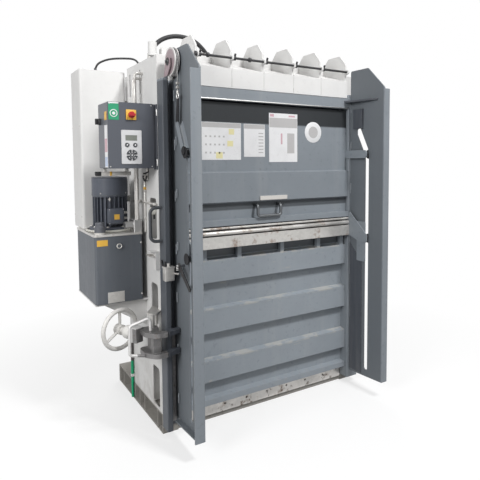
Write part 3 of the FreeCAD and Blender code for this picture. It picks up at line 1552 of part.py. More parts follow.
def cabinet():
    """Open-fronted cabinet with its hinge pin, and the door with the switch plate."""
    left = cabinet_left
    right = left + s.cabinet_width
    low = s.cabinet_bottom
    high = low + s.cabinet_height
    gauge = s.cabinet_sheet
    inner_front = s.cabinet_front + s.cabinet_door_sheet
    back = s.cabinet_front + s.cabinet_depth
    inner_x = (left + gauge, right - gauge)
    inner_z = (low + gauge, high - gauge)
    outer_edge = rectangle((left, right), (low, high), 6)
    tube = plate("cabinet_tube", "XZ", (inner_front + 0.5, back), outer_edge, rectangle(inner_x, inner_z, 3))
    rear_sheet = box("cabinet_back", inner_x, (back - gauge, back), inner_z)
    pin_x = right + s.cabinet_hinge_gap
    pin_y = inner_front - s.cabinet_hinge_radius - 0.5
    pieces = [tube, rear_sheet]
    knuckle = s.cabinet_hinge_radius
    ear = s.cabinet_ear_height
    ear_levels = (low + s.cabinet_ear_low, low + s.cabinet_ear_high)
    for level in ear_levels:
        ear_z = (level, level + ear)
        behind = inner_front + knuckle
        pieces.append(box("hinge_ear", (right - gauge, pin_x + 1), (inner_front + 0.5, behind), ear_z))
        pieces.append(cylinder("hinge_barrel", knuckle, ear, (pin_x, pin_y, level)))
        pieces.append(box("hinge_neck", (pin_x - 1, pin_x + 1), (pin_y, behind), ear_z))
        at = (pin_x, pin_y, level)
        pieces.append(cylinder("hinge_pin", s.cabinet_pin_radius, s.cabinet_pin_length, at))
    node("cabinet_box", fuse("cabinet_box", *pieces))

    face = s.cabinet_front
    panel = plate("cabinet_leaf", "XZ", (face, inner_front), outer_edge)
    half = s.switch_plate / 2
    seat = plate("switch_seat", "XZ", (face - s.switch_plate_sheet, face), rectangle(
        (switch_x - half, switch_x + half), (s.switch_level - half, s.switch_level + half), 4))
    parts = [panel, seat]
    bores = []
    for level in ear_levels:
        start = level + ear + 0.5
        at = (pin_x, pin_y, start)
        parts.append(box("leaf_ear", (right - 1, pin_x), (pin_y - knuckle, pin_y), (start, start + ear + 1)))
        parts.append(cylinder("leaf_barrel", knuckle, ear + 1, at))
        bores.append(cylinder("leaf_bore", s.cabinet_pin_radius + s.shaft_clearance, ear + 1, at))
    stem = (switch_x, face - s.switch_plate_sheet - 1, s.switch_level)
    stem_bore = s.switch_stem_radius + s.shaft_clearance
    bores.append(cylinder("stem_bore", stem_bore, s.cabinet_door_sheet, stem, "Y"))
    node("cabinet_door", cut("cabinet_door", fuse("cabinet_leaf_solid", *parts), *bores))

    gap = s.key_rest_gap
    knob_y = face - s.switch_plate_sheet - 0.3
    disc_y = knob_y - s.switch_knob_depth
    knob = s.switch_knob_radius
    disc = cylinder("knob_disc", knob, s.switch_knob_depth, (switch_x, disc_y, s.switch_level), "Y")
    grip_half = s.switch_grip / 2
    grip = plate("knob_grip", "XZ", (disc_y - s.switch_grip, disc_y), rectangle(
        (switch_x - knob, switch_x + knob),
        (s.switch_level - grip_half, s.switch_level + grip_half), 4))
    stem_length = s.cabinet_door_sheet / 2 + s.switch_plate_sheet
    stem_at = (switch_x, knob_y, s.switch_level)
    spindle = cylinder("knob_stem", s.switch_stem_radius, stem_length, stem_at, "Y")
    node("switch_knob", fuse("switch_knob", disc, grip, spindle))

    pad_left = cabinet_left + s.keypad_inset
    pad_x = (pad_left, pad_left + s.keypad_width)
    pad_z = (s.keypad_bottom, s.keypad_bottom + s.keypad_height)
    pad_face = face - s.keypad_sheet
    side_gap = s.key_side_gap
    round_key_x = [cabinet_left + inset for inset in s.round_key_inset]
    holes = [circle((x, s.round_key_level), s.round_key_radius + side_gap) for x in round_key_x]
    holes.append(circle((ring_x, s.ring_level), s.centre_key_radius + side_gap))
    base = plate("keypad_plate", "XZ", (pad_face, face), rectangle(pad_x, pad_z, 4), *holes)
    screen_half = s.display_width / 2
    screen_rise = s.display_height / 2
    screen_x = cabinet_left + s.display_inset
    screen = box("display", (screen_x - screen_half, screen_x + screen_half),
                 (pad_face - 1, pad_face + s.display_recess),
                 (s.display_level - screen_rise, s.display_level + screen_rise))
    cuts = [screen]
    key_y = (pad_face - s.key_stand, face - gap)
    depth = key_y[1] - key_y[0]
    key_angles = [45 + 90 * k - 36 for k in range(4)]
    for turn in key_angles:
        cuts.append(ring_sector("ring_hole", turn, side_gap, (pad_face - 1, face + 1)))
    node("keypad", cut("keypad", base, *cuts))
    count = 0
    for x in round_key_x:
        count += 1
        at = (x, key_y[0], s.round_key_level)
        node(f"key_{count}", cylinder(f"key_{count}", s.round_key_radius, depth, at, "Y"))
    node("key_3", cylinder("key_3", s.centre_key_radius, depth, (ring_x, key_y[0], s.ring_level), "Y"))
    for k, turn in enumerate(key_angles):
        node(f"key_{k + 4}", ring_sector(f"key_{k + 4}", turn, as_size(0), key_y))


def ring_sector(name, turn, grow, span):
    """Part of a ring about the keypad's centre, grown by a gap on its round sides and ends."""
    length = span[1] - span[0]
    spin = TURN["Y"] * FreeCAD.Rotation(FreeCAD.Vector(0, 0, 1), turn - grow.value * 1.2)
    at = (ring_x, span[0], s.ring_level)
    outer = cylinder(f"{name}_outer", s.ring_outer_radius + grow, length, at, rotation=spin)
    outer.setExpression("Angle", (s.ring_key_angle + grow * 2.4).text)
    inner = cylinder(f"{name}_inner", s.ring_inner_radius - grow, length, at, "Y")
    return cut(name, outer, inner)


def side_brackets():
    """Tank tray with its gussets, cabinet and cover holders, safety switch and rod clips."""
    wall = -half_width
    sheet_gauge = s.wall_sheet
    tray_y = (s.tank_front + sheet_gauge, s.tank_front + s.tank_depth)
    tray = box("tray", (tank_left, wall), tray_y, (s.tank_bottom - sheet_gauge, s.tank_bottom))
    pieces = [tray]
    for low_y in (s.tank_front + s.window_setback, cladding_rear - s.window_setback):
        gusset = plate("tray_gusset", "XZ", (low_y, low_y + sheet_gauge), [
            (wall, s.tank_bottom - sheet_gauge),
            (tank_left + s.window_setback, s.tank_bottom - sheet_gauge),
            (wall, s.tank_bottom - sheet_gauge - s.window_height * 0.7),
        ])
        pieces.append(gusset)
    cabinet_right = cabinet_left + s.cabinet_width
    mid = s.cabinet_bottom + s.cabinet_height / 2
    arm_y = (s.cabinet_front + s.window_setback, s.cabinet_front + s.cabinet_depth)
    half = s.cabinet_arm_height / 2
    pieces.append(box("cabinet_arm", (cabinet_right, wall), arm_y, (mid - half, mid + half)))
    for level in (s.motor_core_top, s.head_bottom):
        arm_x = (cover_right, -half_chamber - s.wall_sheet)
        arm_rear = s.cover_rear - s.cover_arm_inset
        arm_top = level - s.cover_arm_drop
        across = box("cover_arm", arm_x, (arm_rear - s.cover_arm_width, arm_rear),
                     (arm_top - s.cover_arm_height, arm_top))
        pieces.append(across)
    box_y = (front + 1, front + s.switch_box_depth)
    pieces.append(box("safety_switch", (wall - s.switch_box_width, wall), box_y,
                      (s.switch_box_bottom, s.switch_box_bottom + s.switch_box_height)))
    lug_z = s.switch_box_bottom + s.switch_box_height
    shelf_x = (wall - s.switch_box_width * 2, wall)
    pieces.append(box("switch_shelf", shelf_x, (box_y[0], box_y[1] + 30), (lug_z, lug_z + 5)))
    rod_y = front + s.stowed_rod_depth
    reach = s.stowed_rod_radius * 2
    clip_edge = rectangle((wall - reach - 4, wall), (rod_y - reach / 2 - 4, rod_y + reach / 2 + 4), 4)
    clip_bore = circle((wall - s.stowed_rod_radius - 3, rod_y), s.stowed_rod_radius)
    for level in (s.floor_height + s.window_setback, s.stowed_rod_length - s.window_setback):
        pieces.append(plate("rod_clip", "XY", (level, level + 16), clip_edge, clip_bore))
    return node("side_brackets", fuse("side_brackets", *pieces))


def stowed_rod():
    """Round rod kept upright in two clips on the left side."""
    at = (-half_width - s.stowed_rod_radius - 3, front + s.stowed_rod_depth, s.stowed_rod_bottom)
    return node("stowed_rod", cylinder("stowed_rod", s.stowed_rod_radius, s.stowed_rod_length, at))


def check(items):
    """Stops on any failed feature or unsound shape."""
    for item in doc.Objects:
        if "Invalid" in item.State or "Error" in item.State:
            raise RuntimeError(f"{item.Name} is {item.State}")
    for item in items:
        if item.Shape.isNull() or not item.Shape.isValid() or not item.Shape.Solids:
            raise RuntimeError(f"{item.Label} has no sound solid")


base_frame()
floor_plate()
side_frame(-1, "side_frame_left")
side_frame(1, "side_frame_right")
rear_wall()
head_frame()
head_panel()
tape_shaft()
cylinder_set()
ram()
door_hinges()
door_frame()
door_panel()
fin(-1, "fin_left")
fin(1, "fin_right")
fin_fittings()
release_lever()
grab_handle()
flap_panel()
flap_handle()
flap_bars()
flap_brackets()
flap_rollers()
rope_pulley()
ropes()
counterweight()
lock_bracket()
hook_plates()
spindle_and_wheel()
oil_tank()
motor()
hydraulics()
pipe_cover()
cabinet()
side_brackets()
stowed_rod()

doc.recompute()
check(nodes)
os.makedirs("parts", exist_ok=True)
for item in nodes:
    item.Shape.exportStep(f"parts/{item.Label}.step")
print(len(nodes), "sub-parts written")
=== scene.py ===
import math

import bmesh
import bpy
from mathutils import Matrix, Vector


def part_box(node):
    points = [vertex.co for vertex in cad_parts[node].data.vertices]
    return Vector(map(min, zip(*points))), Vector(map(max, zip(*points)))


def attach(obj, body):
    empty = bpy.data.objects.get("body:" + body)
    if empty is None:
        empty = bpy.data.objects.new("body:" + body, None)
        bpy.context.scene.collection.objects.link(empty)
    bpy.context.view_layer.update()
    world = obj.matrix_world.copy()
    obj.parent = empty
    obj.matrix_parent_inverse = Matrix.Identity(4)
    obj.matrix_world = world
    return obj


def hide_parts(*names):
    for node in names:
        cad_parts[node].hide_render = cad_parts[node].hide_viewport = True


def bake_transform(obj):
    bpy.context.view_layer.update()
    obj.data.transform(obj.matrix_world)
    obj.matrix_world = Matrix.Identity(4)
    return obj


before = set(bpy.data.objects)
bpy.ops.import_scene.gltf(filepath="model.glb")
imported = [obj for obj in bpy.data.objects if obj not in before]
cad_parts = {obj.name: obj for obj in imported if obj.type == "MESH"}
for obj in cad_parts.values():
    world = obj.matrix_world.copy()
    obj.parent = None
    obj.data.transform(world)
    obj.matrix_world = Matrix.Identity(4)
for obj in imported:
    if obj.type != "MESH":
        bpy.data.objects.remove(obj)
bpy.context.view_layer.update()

bl_info = {
    "name": "Recycling Baler",
    "version": (1, 0, 0),
    "blender": (4, 5, 0),
    "location": "3D View > Sidebar > Baler",
    "description": "Paints a standing recycling baler and adds its cards, hoses, fasteners and welds",
    "category": "Object",
}

# The CAD nodes give the frame in metres: X to the right, Y to the back, Z up from the floor.
RIGHT, BACK, UP = (1, 0, 0), (0, 1, 0), (0, 0, 1)
LEFT, FRONT = (-1, 0, 0), (0, -1, 0)

# Faces that pieces stand on, and lines that they stand on or turn about.
FLAP_FACE = -0.449
LEAF_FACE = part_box("cabinet_box")[0].y - 0.0035
TANK_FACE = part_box("oil_tank")[0].y + 0.01
MOTOR_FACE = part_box("motor_body")[0].y
CABINET_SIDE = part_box("cabinet_box")[0].x
WALL = -0.692
LID_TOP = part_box("tank_lid")[0].z + 0.012
MOTOR_X, MOTOR_Y = -0.848, 0.01
KEYPAD_X, KEYPAD_Z = -0.832, 1.57
ROUND_CARD_X, ROUND_CARD_Z = 0.32, 1.72
ROLLER_Y, ROLLER_LEVELS = -0.63, (1.03, 1.58)
DIVIDER_WELDS = (-0.49, -0.274, -0.058, 0.158, 0.374)

# How far a stuck-on card reaches into its surface, and how thick the colour printed on it is.
CARD_GRIP = 0.0004
PRINT_SHEET = 0.0003
# Edges that turn by more than this look sharp.
SHARP_ANGLE = math.radians(40)

# Finishes with the slot that they go with.
PLATED = ("zinc_clean", "galvanised")
STAINED = ("zinc_dirty", "galvanised")
BRIGHT = ("wire_bright", "galvanised")
CREAM = ("rim_cream", "galvanised")
RUBBER = ("rubber_black", "black_rubber")
PLASTIC = ("plastic_black", "black_plastic")
ROPE = ("rope_wire", "rope_steel")
WHITE_CARD = ("card_white", "white_paint")
YELLOW_CARD = ("card_yellow", "white_paint")
WHITE_WELD = ("weld_white", "white_paint")

HOSE_ROUTE = (
    (-0.646, -0.166, 2.112), (-0.646, -0.166, 2.172), (-0.591, -0.172, 2.244), (-0.496, -0.178, 2.28),
    (-0.384, -0.18, 2.27), (-0.301, -0.175, 2.208), (-0.27, -0.17, 2.149), (-0.27, -0.17, 2.091),
)
CABLE_ROUTE = (
    (-0.865, 0.21, 2.09), (-0.865, 0.21, 2.132), (-0.81, 0.158, 2.162),
    (-0.743, 0.108, 2.168), (-0.646, 0.042, 2.162), (-0.646, 0.042, 2.112),
)


def colour_property(label, text, value):
    """A paint colour, linear, as the sidebar shows it."""
    return bpy.props.FloatVectorProperty(
        name=label, description=text, subtype="COLOR", size=3, min=0.0, max=1.0, default=value
    )


def length_property(label, text, value):
    """A length in metres, as the sidebar shows it."""
    return bpy.props.FloatProperty(
        name=label, description=text, unit="LENGTH", min=0.0, precision=4, default=value
    )


class BalerPaints(bpy.types.PropertyGroup):
    """Paint and finish colours of the baler."""

    door: colour_property("Door grey", "Enamel of the door, its fins and the flap", (0.245, 0.272, 0.3))
    cabinet: colour_property("Cabinet grey", "Powder coat of the control cabinet", (0.088, 0.096, 0.116))
    tank: colour_property("Tank grey", "Enamel of the oil tank", (0.1, 0.112, 0.13))
    motor: colour_property("Motor grey", "Enamel of the motor and its cowl", (0.085, 0.096, 0.122))
    body: colour_property("Body white", "Enamel of the chamber, head and pipe cover", (0.745, 0.74, 0.73))
    beams: colour_property("Beam grey", "Paint of the base beams", (0.34, 0.325, 0.3))
    wheel: colour_property("Wheel cream", "Enamel of the handwheel and its spindle", (0.73, 0.715, 0.69))
    zinc: colour_property("Zinc", "Galvanised steel", (0.6, 0.585, 0.56))
    steel: colour_property("Steel", "Bare ground steel", (0.56, 0.555, 0.55))
    iron: colour_property("Dark iron", "Blackened hooks and the weight", (0.21, 0.205, 0.205))
    pulley: colour_property("Pulley", "Moulded pulley disc", (0.36, 0.28, 0.3))
    card: colour_property("Card", "Bare stuck-on cards", (0.82, 0.82, 0.83))
    yellow: colour_property("Yellow", "Yellow cards and the switch plate", (0.79, 0.46, 0.07))
    green: colour_property("Green", "Green card and the end of the stowed rod", (0.028, 0.32, 0.16))
    red: colour_property("Red", "Main switch knob", (0.45, 0.02, 0.03))


class BalerSizes(bpy.types.PropertyGroup):
    """Sizes of the small pieces that dress the baler."""

    card_sheet: length_property("Card thickness", "Thickness of the stuck-on cards", 0.0012)
    bolt: length_property("Bolt radius", "Radius across a hex head's corners", 0.009)
    bead: length_property("Weld bead", "Half width of a weld bead", 0.0035)
    rope: length_property("Rope radius", "Radius of the flap's wire rope", 0.004)
    hose: length_property("Hose radius", "Radius of the press cylinder's hose", 0.013)
    cable: length_property("Cable radius", "Radius of the cable from the pipe cover", 0.006)
    edge: length_property("Edge radius", "Radius of the worn, rounded sheet edges", 0.0022)


def paints():
    return bpy.context.scene.baler_paints


def sizes():
    return bpy.context.scene.baler_sizes


def middle_of(node):
    """The middle of a CAD node's box."""
    low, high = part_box(node)
    return (low + high) / 2


def add_object(name, data):
    """Puts a mesh, curve, lamp or camera into the scene."""
    made = bpy.data.objects.new(name, data)
    bpy.context.scene.collection.objects.link(made)
    return made


class Tree:
    """A tree of shader nodes."""

    def __init__(self, tree):
        self.nodes = tree.nodes
        self.links = tree.links

    def add(self, kind, sockets=None, **settings):
        """A new node with its settings made, and its sockets filled with values or linked."""
        node = self.nodes.new(kind)
        for name, value in settings.items():
            setattr(node, name, value)
        for socket, value in (sockets or {}).items():
            if isinstance(value, bpy.types.NodeSocket):
                self.links.new(value, node.inputs[socket])
            else:
                node.inputs[socket].default_value = value
        return node

    def cover(self, share, below, above, output):
        """Mixes two shaders by a share and gives the result to the output node."""
        mixed = self.add("ShaderNodeMixShader", {0: share, 1: below, 2: above}).outputs[0]
        self.links.new(mixed, self.nodes[output].inputs["Surface"])


class Finish(Tree):
    """One surface finish, made of nodes that read the piece's own coordinates in metres."""

    def __init__(self, name, colour, roughness, metallic=0.0):
        material = bpy.data.materials.new(name)
        material.use_nodes = True
        super().__init__(material.node_tree)
        self.colour = (*colour, 1.0)
        self.shader = self.nodes["Principled BSDF"]
        self.shader.inputs["Base Color"].default_value = self.colour
        self.shader.inputs["Roughness"].default_value = roughness
        self.shader.inputs["Metallic"].default_value = metallic
        self.place = self.add("ShaderNodeTexCoord").outputs["Object"]

    def noise(self, scale, detail, stretch=None):
        """Cloudy noise, finer as scale grows; stretch draws it out along an axis."""
        place = self.place
        if stretch:
            place = self.add("ShaderNodeMapping", {"Vector": place, "Scale": stretch}).outputs["Vector"]
        sockets = {"Vector": place, "Scale": scale, "Detail": detail, "Roughness": 0.62}
        return self.add("ShaderNodeTexNoise", sockets).outputs["Fac"]

    def band(self, value, start, end):
        """Rises smoothly from 0 at start to 1 at end."""
        sockets = {"Value": value, "From Min": start, "From Max": end}
        return self.add("ShaderNodeMapRange", sockets, interpolation_type="SMOOTHSTEP").outputs["Result"]

    def spots(self, scale, detail, start, end, stretch=None):
        """Noise that begins to show at start and is full at end."""
        return self.band(self.noise(scale, detail, stretch), start, end)

    def where(self, **limits):
        """1 past the given limits and 0 before them; each limit is an axis with a start and an end."""
        mask = None
        for letter, (start, end) in limits.items():
            side = self.band(self.add("ShaderNodeSeparateXYZ", {"Vector": self.place}).outputs[letter], start, end)
            mask = self.both(mask, side) if mask else side
        return mask

    def far(self, y, z):
        """The distance from the line along X that goes through a place."""
        sockets = {"Vector": self.place, "Location": (0.0, -y, -z), "Scale": (0.0, 1.0, 1.0)}
        flat = self.add("ShaderNodeMapping", sockets).outputs["Vector"]
        return self.add("ShaderNodeVectorMath", {0: flat}, operation="LENGTH").outputs["Value"]

    def level(self, value, low, high):
        """A value of 0 to 1 laid between low and high."""
        return self.add("ShaderNodeMapRange", {"Value": value, "To Min": low, "To Max": high}).outputs["Result"]

    def both(self, first, second, operation="MULTIPLY"):
        """Two values multiplied, or joined by another operation, and held between 0 and 1."""
        return self.add("ShaderNodeMath", {0: first, 1: second}, operation=operation, use_clamp=True).outputs[0]

    def edges(self, width):
        """1 along the piece's edges, 0 on its faces, and the rounded normal there."""
        rounded = self.add("ShaderNodeBevel", {"Radius": width}, samples=4).outputs["Normal"]
        normal = self.add("ShaderNodeNewGeometry").outputs["Normal"]
        match = self.add("ShaderNodeVectorMath", {0: rounded, 1: normal}, operation="DOT_PRODUCT")
        return self.band(match.outputs["Value"], 0.985, 0.86), rounded

    def tint(self, mask, colour, share=None):
        """Lays a colour over what is there, as far as the mask says, or only a share of that."""
        if share is not None:
            mask = self.level(mask, 0.0, share)
        # Sockets 6 and 7 of a mix node that is set to colours are the two colours.
        sockets = {0: mask, 6: self.colour, 7: (*colour, 1.0)}
        self.colour = self.add("ShaderNodeMix", sockets, data_type="RGBA").outputs[2]
        self.links.new(self.colour, self.shader.inputs["Base Color"])

    def rough(self, value, low, high):
        """Lets the roughness go from low to high with a value."""
        self.links.new(self.level(value, low, high), self.shader.inputs["Roughness"])

    def bump(self, height, strength, depth, normal=None):
        """Gives the surface small heights, on top of a rounded normal if there is one."""
        sockets = {"Height": height, "Strength": strength, "Distance": depth}
        if normal:
            sockets["Normal"] = normal
        self.links.new(self.add("ShaderNodeBump", sockets).outputs["Normal"], self.shader.inputs["Normal"])


def shade(colour, factor):
    """A colour made darker or lighter."""
    return tuple(min(1.0, part * factor) for part in colour)


def enamel(name, colour, roughness=0.36, dirt=0.35, worn=0.5, streaks=0.25, bare=(0.42, 0.4, 0.38)):
    """Sprayed enamel: orange peel, rubbed patches, runs of dust, and edges worn to the metal."""
    finish = Finish(name, colour, roughness)
    clouds = finish.noise(2.3, 5.0)
    runs = finish.noise(9.0, 4.0, (1.0, 1.0, 0.06))
    grime = finish.noise(34.0, 6.0)
    edge, rounded = finish.edges(sizes().edge)
    finish.tint(finish.band(clouds, 0.35, 0.7), shade(colour, 0.72), 0.28)
    dust = tuple(0.5 * part + 0.22 for part in colour)
    finish.tint(finish.band(runs, 0.5, 0.72), dust, streaks)
    finish.tint(finish.band(grime, 0.56, 0.74), shade(colour, 0.5), dirt)
    chips = finish.both(edge, finish.spots(46.0, 4.0, 0.46, 0.6))
    finish.tint(chips, bare, worn)
    finish.rough(finish.both(grime, clouds, "ADD"), roughness - 0.08, roughness + 0.2)
    finish.bump(finish.noise(420.0, 2.0), 0.12, 0.0006, rounded)
    return finish


def white_enamel():
    """White enamel of the chamber: faint grey runs, grime low down, and dark scuffs."""
    finish = enamel("body_white", paints().body, 0.42, 0.1, 0.55, 0.12, (0.3, 0.27, 0.24))
    low = finish.both(finish.where(Z=(0.55, 0.05)), finish.spots(11.0, 5.0, 0.38, 0.72))
    finish.tint(low, (0.36, 0.33, 0.29), 0.5)
    finish.tint(finish.spots(13.0, 6.0, 0.66, 0.76, (1.0, 1.0, 3.0)), (0.33, 0.3, 0.28), 0.35)


def flap_enamel():
    """Door enamel of the flap, with a painted shadow under the header and a painted shadow band below the cards."""
    door = paints().door
    finish = enamel("flap_grey", door, 0.34)
    finish.shader.inputs["Specular IOR Level"].default_value = 0.3
    # Painted shadow: the flap's top, under the header, is painted nearly black.
    finish.tint(finish.where(Z=(1.752, 1.764)), shade(door, 0.06), 0.93)
    # Painted shadow: a dark band on the recessed sheet just under the flap's rib.
    shadow = finish.both(finish.where(Y=(-0.456, -0.452), Z=(1.248, 1.256)), finish.where(Z=(1.294, 1.29)))
    finish.tint(shadow, shade(door, 0.15), 0.75)
    finish.tint(finish.spots(7.0, 4.0, 0.58, 0.72, (0.05, 1.0, 1.0)), shade(door, 1.5), 0.18)


def panel_enamel():
    """Door enamel of the lower panel, made lighter than the door as painted reflected light, rubbed pale along the
    ribs and at the top edge, with painted shade in the recessed bays along the top.
    """
    door = paints().door
    # Painted light: door grey made a quarter lighter for the daylight that the panel reflects.
    finish = enamel("panel_grey", shade(door, 1.25), 0.36, 0.4, 0.8, 0.3)
    rubbed = finish.both(finish.where(Z=(1.0, 1.075)), finish.spots(30.0, 5.0, 0.4, 0.62))
    finish.tint(rubbed, (0.42, 0.42, 0.42), 0.5)
    for top in (0.385, 0.688, 0.975):
        edge = finish.both(finish.where(Z=(top - 0.02, top - 0.012)), finish.where(Z=(top + 0.002, top)))
        patch = finish.both(edge, finish.spots(9.0, 6.0, 0.46, 0.56, (1.0, 1.0, 3.0)))
        finish.tint(patch, (0.46, 0.45, 0.42), 0.7)
    # Painted shade: the recessed bays at the panel's top are darkened.
    finish.tint(finish.where(Y=(-0.418, -0.412), Z=(0.978, 0.984)), shade(door, 0.2), 0.8)
    finish.tint(finish.spots(26.0, 7.0, 0.66, 0.72, (0.35, 1.0, 1.0)), (0.4, 0.39, 0.37), 0.6)


def frame_enamel():
    """Door enamel of the door's outer frame, with painted shade on its left side where it meets the chamber."""
    finish = enamel("frame_grey", paints().door, 0.36, 0.35, 0.6)
    # Painted shade: the frame's left side, below the head, is door grey made dark.
    finish.tint(finish.where(X=(-0.604, -0.61), Z=(1.97, 1.96)), (0.045, 0.05, 0.062), 0.8)


def fin_enamel():
    """Door enamel of the tall guide fins, with painted shade on their sides behind the front folds."""
    door = paints().door
    finish = enamel("fin_grey", shade(door, 0.93), 0.38, 0.35, 0.8)
    # Painted shade: behind the front folds, the fins' sides are door grey made darker.
    finish.tint(finish.where(Y=(-0.774, -0.77)), shade(door, 0.5), 0.75)


def fitting_enamel():
    """Enamel of the fins' fittings, door grey made dark as painted shade; the cheek in front of the pulley has the
    pulley's colour.
    """
    # Painted shade: the fittings are door grey enamel given a much darker colour.
    finish = enamel("fitting_grey", (0.075, 0.083, 0.098), 0.4, 0.3, 0.6)
    finish.tint(finish.where(X=(-0.6565, -0.6575), Z=(1.984, 1.987)), paints().pulley)


def bracket_enamel():
    """Enamel of the flap's side plates, with the rope arms' upper halves black as painted shadow under the header,
    painted shade on the right plate, and the rollers' discs black.
    """
    door, black = paints().door, (0.012, 0.012, 0.014)
    finish = enamel("bracket_grey", door, 0.4, 0.4, 0.9)
    # Painted shadow: the rope arms' upper halves, under the header, are painted black.
    finish.tint(finish.where(Z=(1.735, 1.745), X=(0.0, -0.1)), black)
    # Painted shade: the right side plate, above its lower end, is door grey made dark.
    finish.tint(finish.where(X=(0.59, 0.6), Z=(1.19, 1.2)), shade(door, 0.25), 0.7)
    outside = finish.both(finish.where(X=(-0.6356, -0.6362)), finish.where(X=(0.6356, 0.6362)), "ADD")
    discs = [finish.band(finish.far(ROLLER_Y, level), 0.034, 0.032) for level in ROLLER_LEVELS]
    finish.tint(finish.both(outside, finish.both(*discs, "ADD")), black)


def cabinet_enamel():
    """Powder coat of the cabinet, and the switch plate's yellow, which stands proud of the leaf."""
    finish = enamel("cabinet_grey", paints().cabinet, 0.4, 0.12, 0.3, 0.08)
    high = finish.both(finish.where(Z=(1.75, 1.752)), finish.where(Z=(1.812, 1.81)))
    finish.tint(finish.both(finish.where(Y=(-0.3802, -0.3806)), high), paints().yellow)


def zinc(name, rust=0.35, wear=0.3):
    """Galvanised steel: crystal spangle, white bloom, and rust that creeps from below."""
    colour = paints().zinc
    finish = Finish(name, colour, 0.5, 0.55)
    spangle = finish.add("ShaderNodeTexVoronoi", {"Vector": finish.place, "Scale": 70.0}).outputs["Color"]
    fleck = finish.add("ShaderNodeSeparateXYZ", {"Vector": spangle}).outputs["X"]
    edge, rounded = finish.edges(sizes().edge)
    finish.tint(fleck, shade(colour, 0.6), 0.3)
    bloom = finish.spots(8.0, 6.0, 0.48, 0.66)
    finish.tint(bloom, (0.66, 0.65, 0.63), wear)
    stain = finish.spots(15.0, 7.0, 0.54, 0.68)
    finish.tint(stain, (0.2, 0.1, 0.05), rust)
    finish.tint(edge, (0.72, 0.71, 0.7), 0.35)
    finish.rough(finish.both(bloom, stain, "ADD"), 0.38, 0.72)
    finish.bump(finish.noise(160.0, 4.0), 0.18, 0.0008, rounded)
    return finish


def metal(name, colour, roughness=0.3):
    """Bare worked steel with the grain of its machining and a little tarnish."""
    finish = Finish(name, colour, roughness, 1.0)
    lines = finish.noise(260.0, 3.0, (1.0, 1.0, 0.05))
    edge, rounded = finish.edges(sizes().edge * 0.6)
    tarnish = finish.spots(18.0, 6.0, 0.5, 0.7)
    finish.tint(tarnish, shade(colour, 0.45), 0.25)
    finish.tint(edge, shade(colour, 1.35), 0.4)
    finish.rough(finish.both(lines, tarnish, "ADD"), roughness - 0.08, roughness + 0.25)
    finish.bump(lines, 0.12, 0.0004, rounded)
    return finish


def cast(name, colour, roughness=0.55, metallic=0.6, worn=0.6):
    """Rough cast or flame-cut iron, rubbed bright along its edges."""
    finish = Finish(name, colour, roughness, metallic)
    skin = finish.noise(190.0, 5.0)
    patches = finish.spots(14.0, 6.0, 0.45, 0.68)
    edge, rounded = finish.edges(sizes().edge * 1.3)
    finish.tint(patches, shade(colour, 1.9), 0.45)
    finish.tint(finish.spots(23.0, 5.0, 0.58, 0.7), (0.12, 0.07, 0.045), 0.4)
    finish.tint(finish.both(edge, finish.level(skin, 0.4, 1.3)), (0.5, 0.49, 0.48), worn)
    finish.rough(skin, roughness - 0.12, roughness + 0.22)
    finish.bump(skin, 0.4, 0.0012, rounded)
    return finish


def moulded(name, colour, roughness=0.5, scratches=0.2, grain=0.15):
    """Moulded plastic or rubber with a fine grain and light scratches."""
    finish = Finish(name, colour, roughness)
    fine = finish.noise(700.0, 2.0)
    marks = finish.spots(60.0, 5.0, 0.6, 0.7, (0.2, 1.0, 1.0))
    finish.tint(marks, tuple(0.6 * part + 0.14 for part in colour), scratches)
    finish.tint(finish.spots(9.0, 4.0, 0.4, 0.7), shade(colour, 0.7), 0.3)
    finish.rough(marks, roughness, min(1.0, roughness + 0.2))
    finish.bump(fine, grain, 0.0004)
    return finish


def printed(name, colour, roughness=0.45, ageing=0.25):
    """A stuck-on card: a smooth film, yellowed and handled, with a faint curl in its surface."""
    finish = Finish(name, colour, roughness)
    finish.tint(finish.spots(12.0, 5.0, 0.42, 0.7), shade(colour, 0.78), ageing)
    finish.tint(finish.spots(90.0, 4.0, 0.6, 0.7), shade(colour, 0.55), ageing)
    finish.rough(finish.noise(30.0, 3.0), roughness - 0.1, roughness + 0.15)
    finish.bump(finish.noise(25.0, 2.0), 0.06, 0.002)
    return finish


def lid_zinc():
    """The tank lid's galvanised sheet and the grey cap of the filler that stands on it."""
    finish = zinc("lid_zinc", 0.12, 0.3)
    cap = LID_TOP + 0.008
    finish.tint(finish.where(Z=(cap, cap + 0.002)), (0.12, 0.125, 0.14))


def floor_zinc():
    """The floor plate's sheet, scraped pale in patches and spotted with dirt."""
    finish = zinc("floor_zinc", 0.75, 0.6)
    finish.tint(finish.spots(5.0, 6.0, 0.38, 0.6), (0.8, 0.77, 0.74), 0.6)
    finish.tint(finish.spots(30.0, 7.0, 0.58, 0.66), (0.12, 0.09, 0.07), 0.7)


def latch_steel():
    """The flap's bright latch bar, and its bail handle with dark worn paint."""
    finish = metal("latch_steel", (0.62, 0.6, 0.57), 0.36)
    finish.tint(finish.where(Z=(1.306, 1.302)), (0.09, 0.1, 0.112), 0.9)


def hook_iron():
    """The hooks' rubbed iron, and the bright drawn wire of their bail."""
    finish = cast("hook_iron", paints().iron, 0.5, 0.5)
    bail = finish.both(finish.where(X=(-0.852, -0.856)), finish.where(Z=(0.634, 0.638)), "ADD")
    finish.tint(bail, (0.74, 0.73, 0.72), 0.85)


def stowed_metal():
    """The stowed rod's dark steel, green over its lower third."""
    finish = metal("rod_steel", (0.11, 0.1, 0.1), 0.5)
    finish.tint(finish.where(Z=(0.262, 0.258)), paints().green)
    finish.tint(finish.spots(40.0, 5.0, 0.6, 0.7), (0.2, 0.19, 0.17), 0.5)


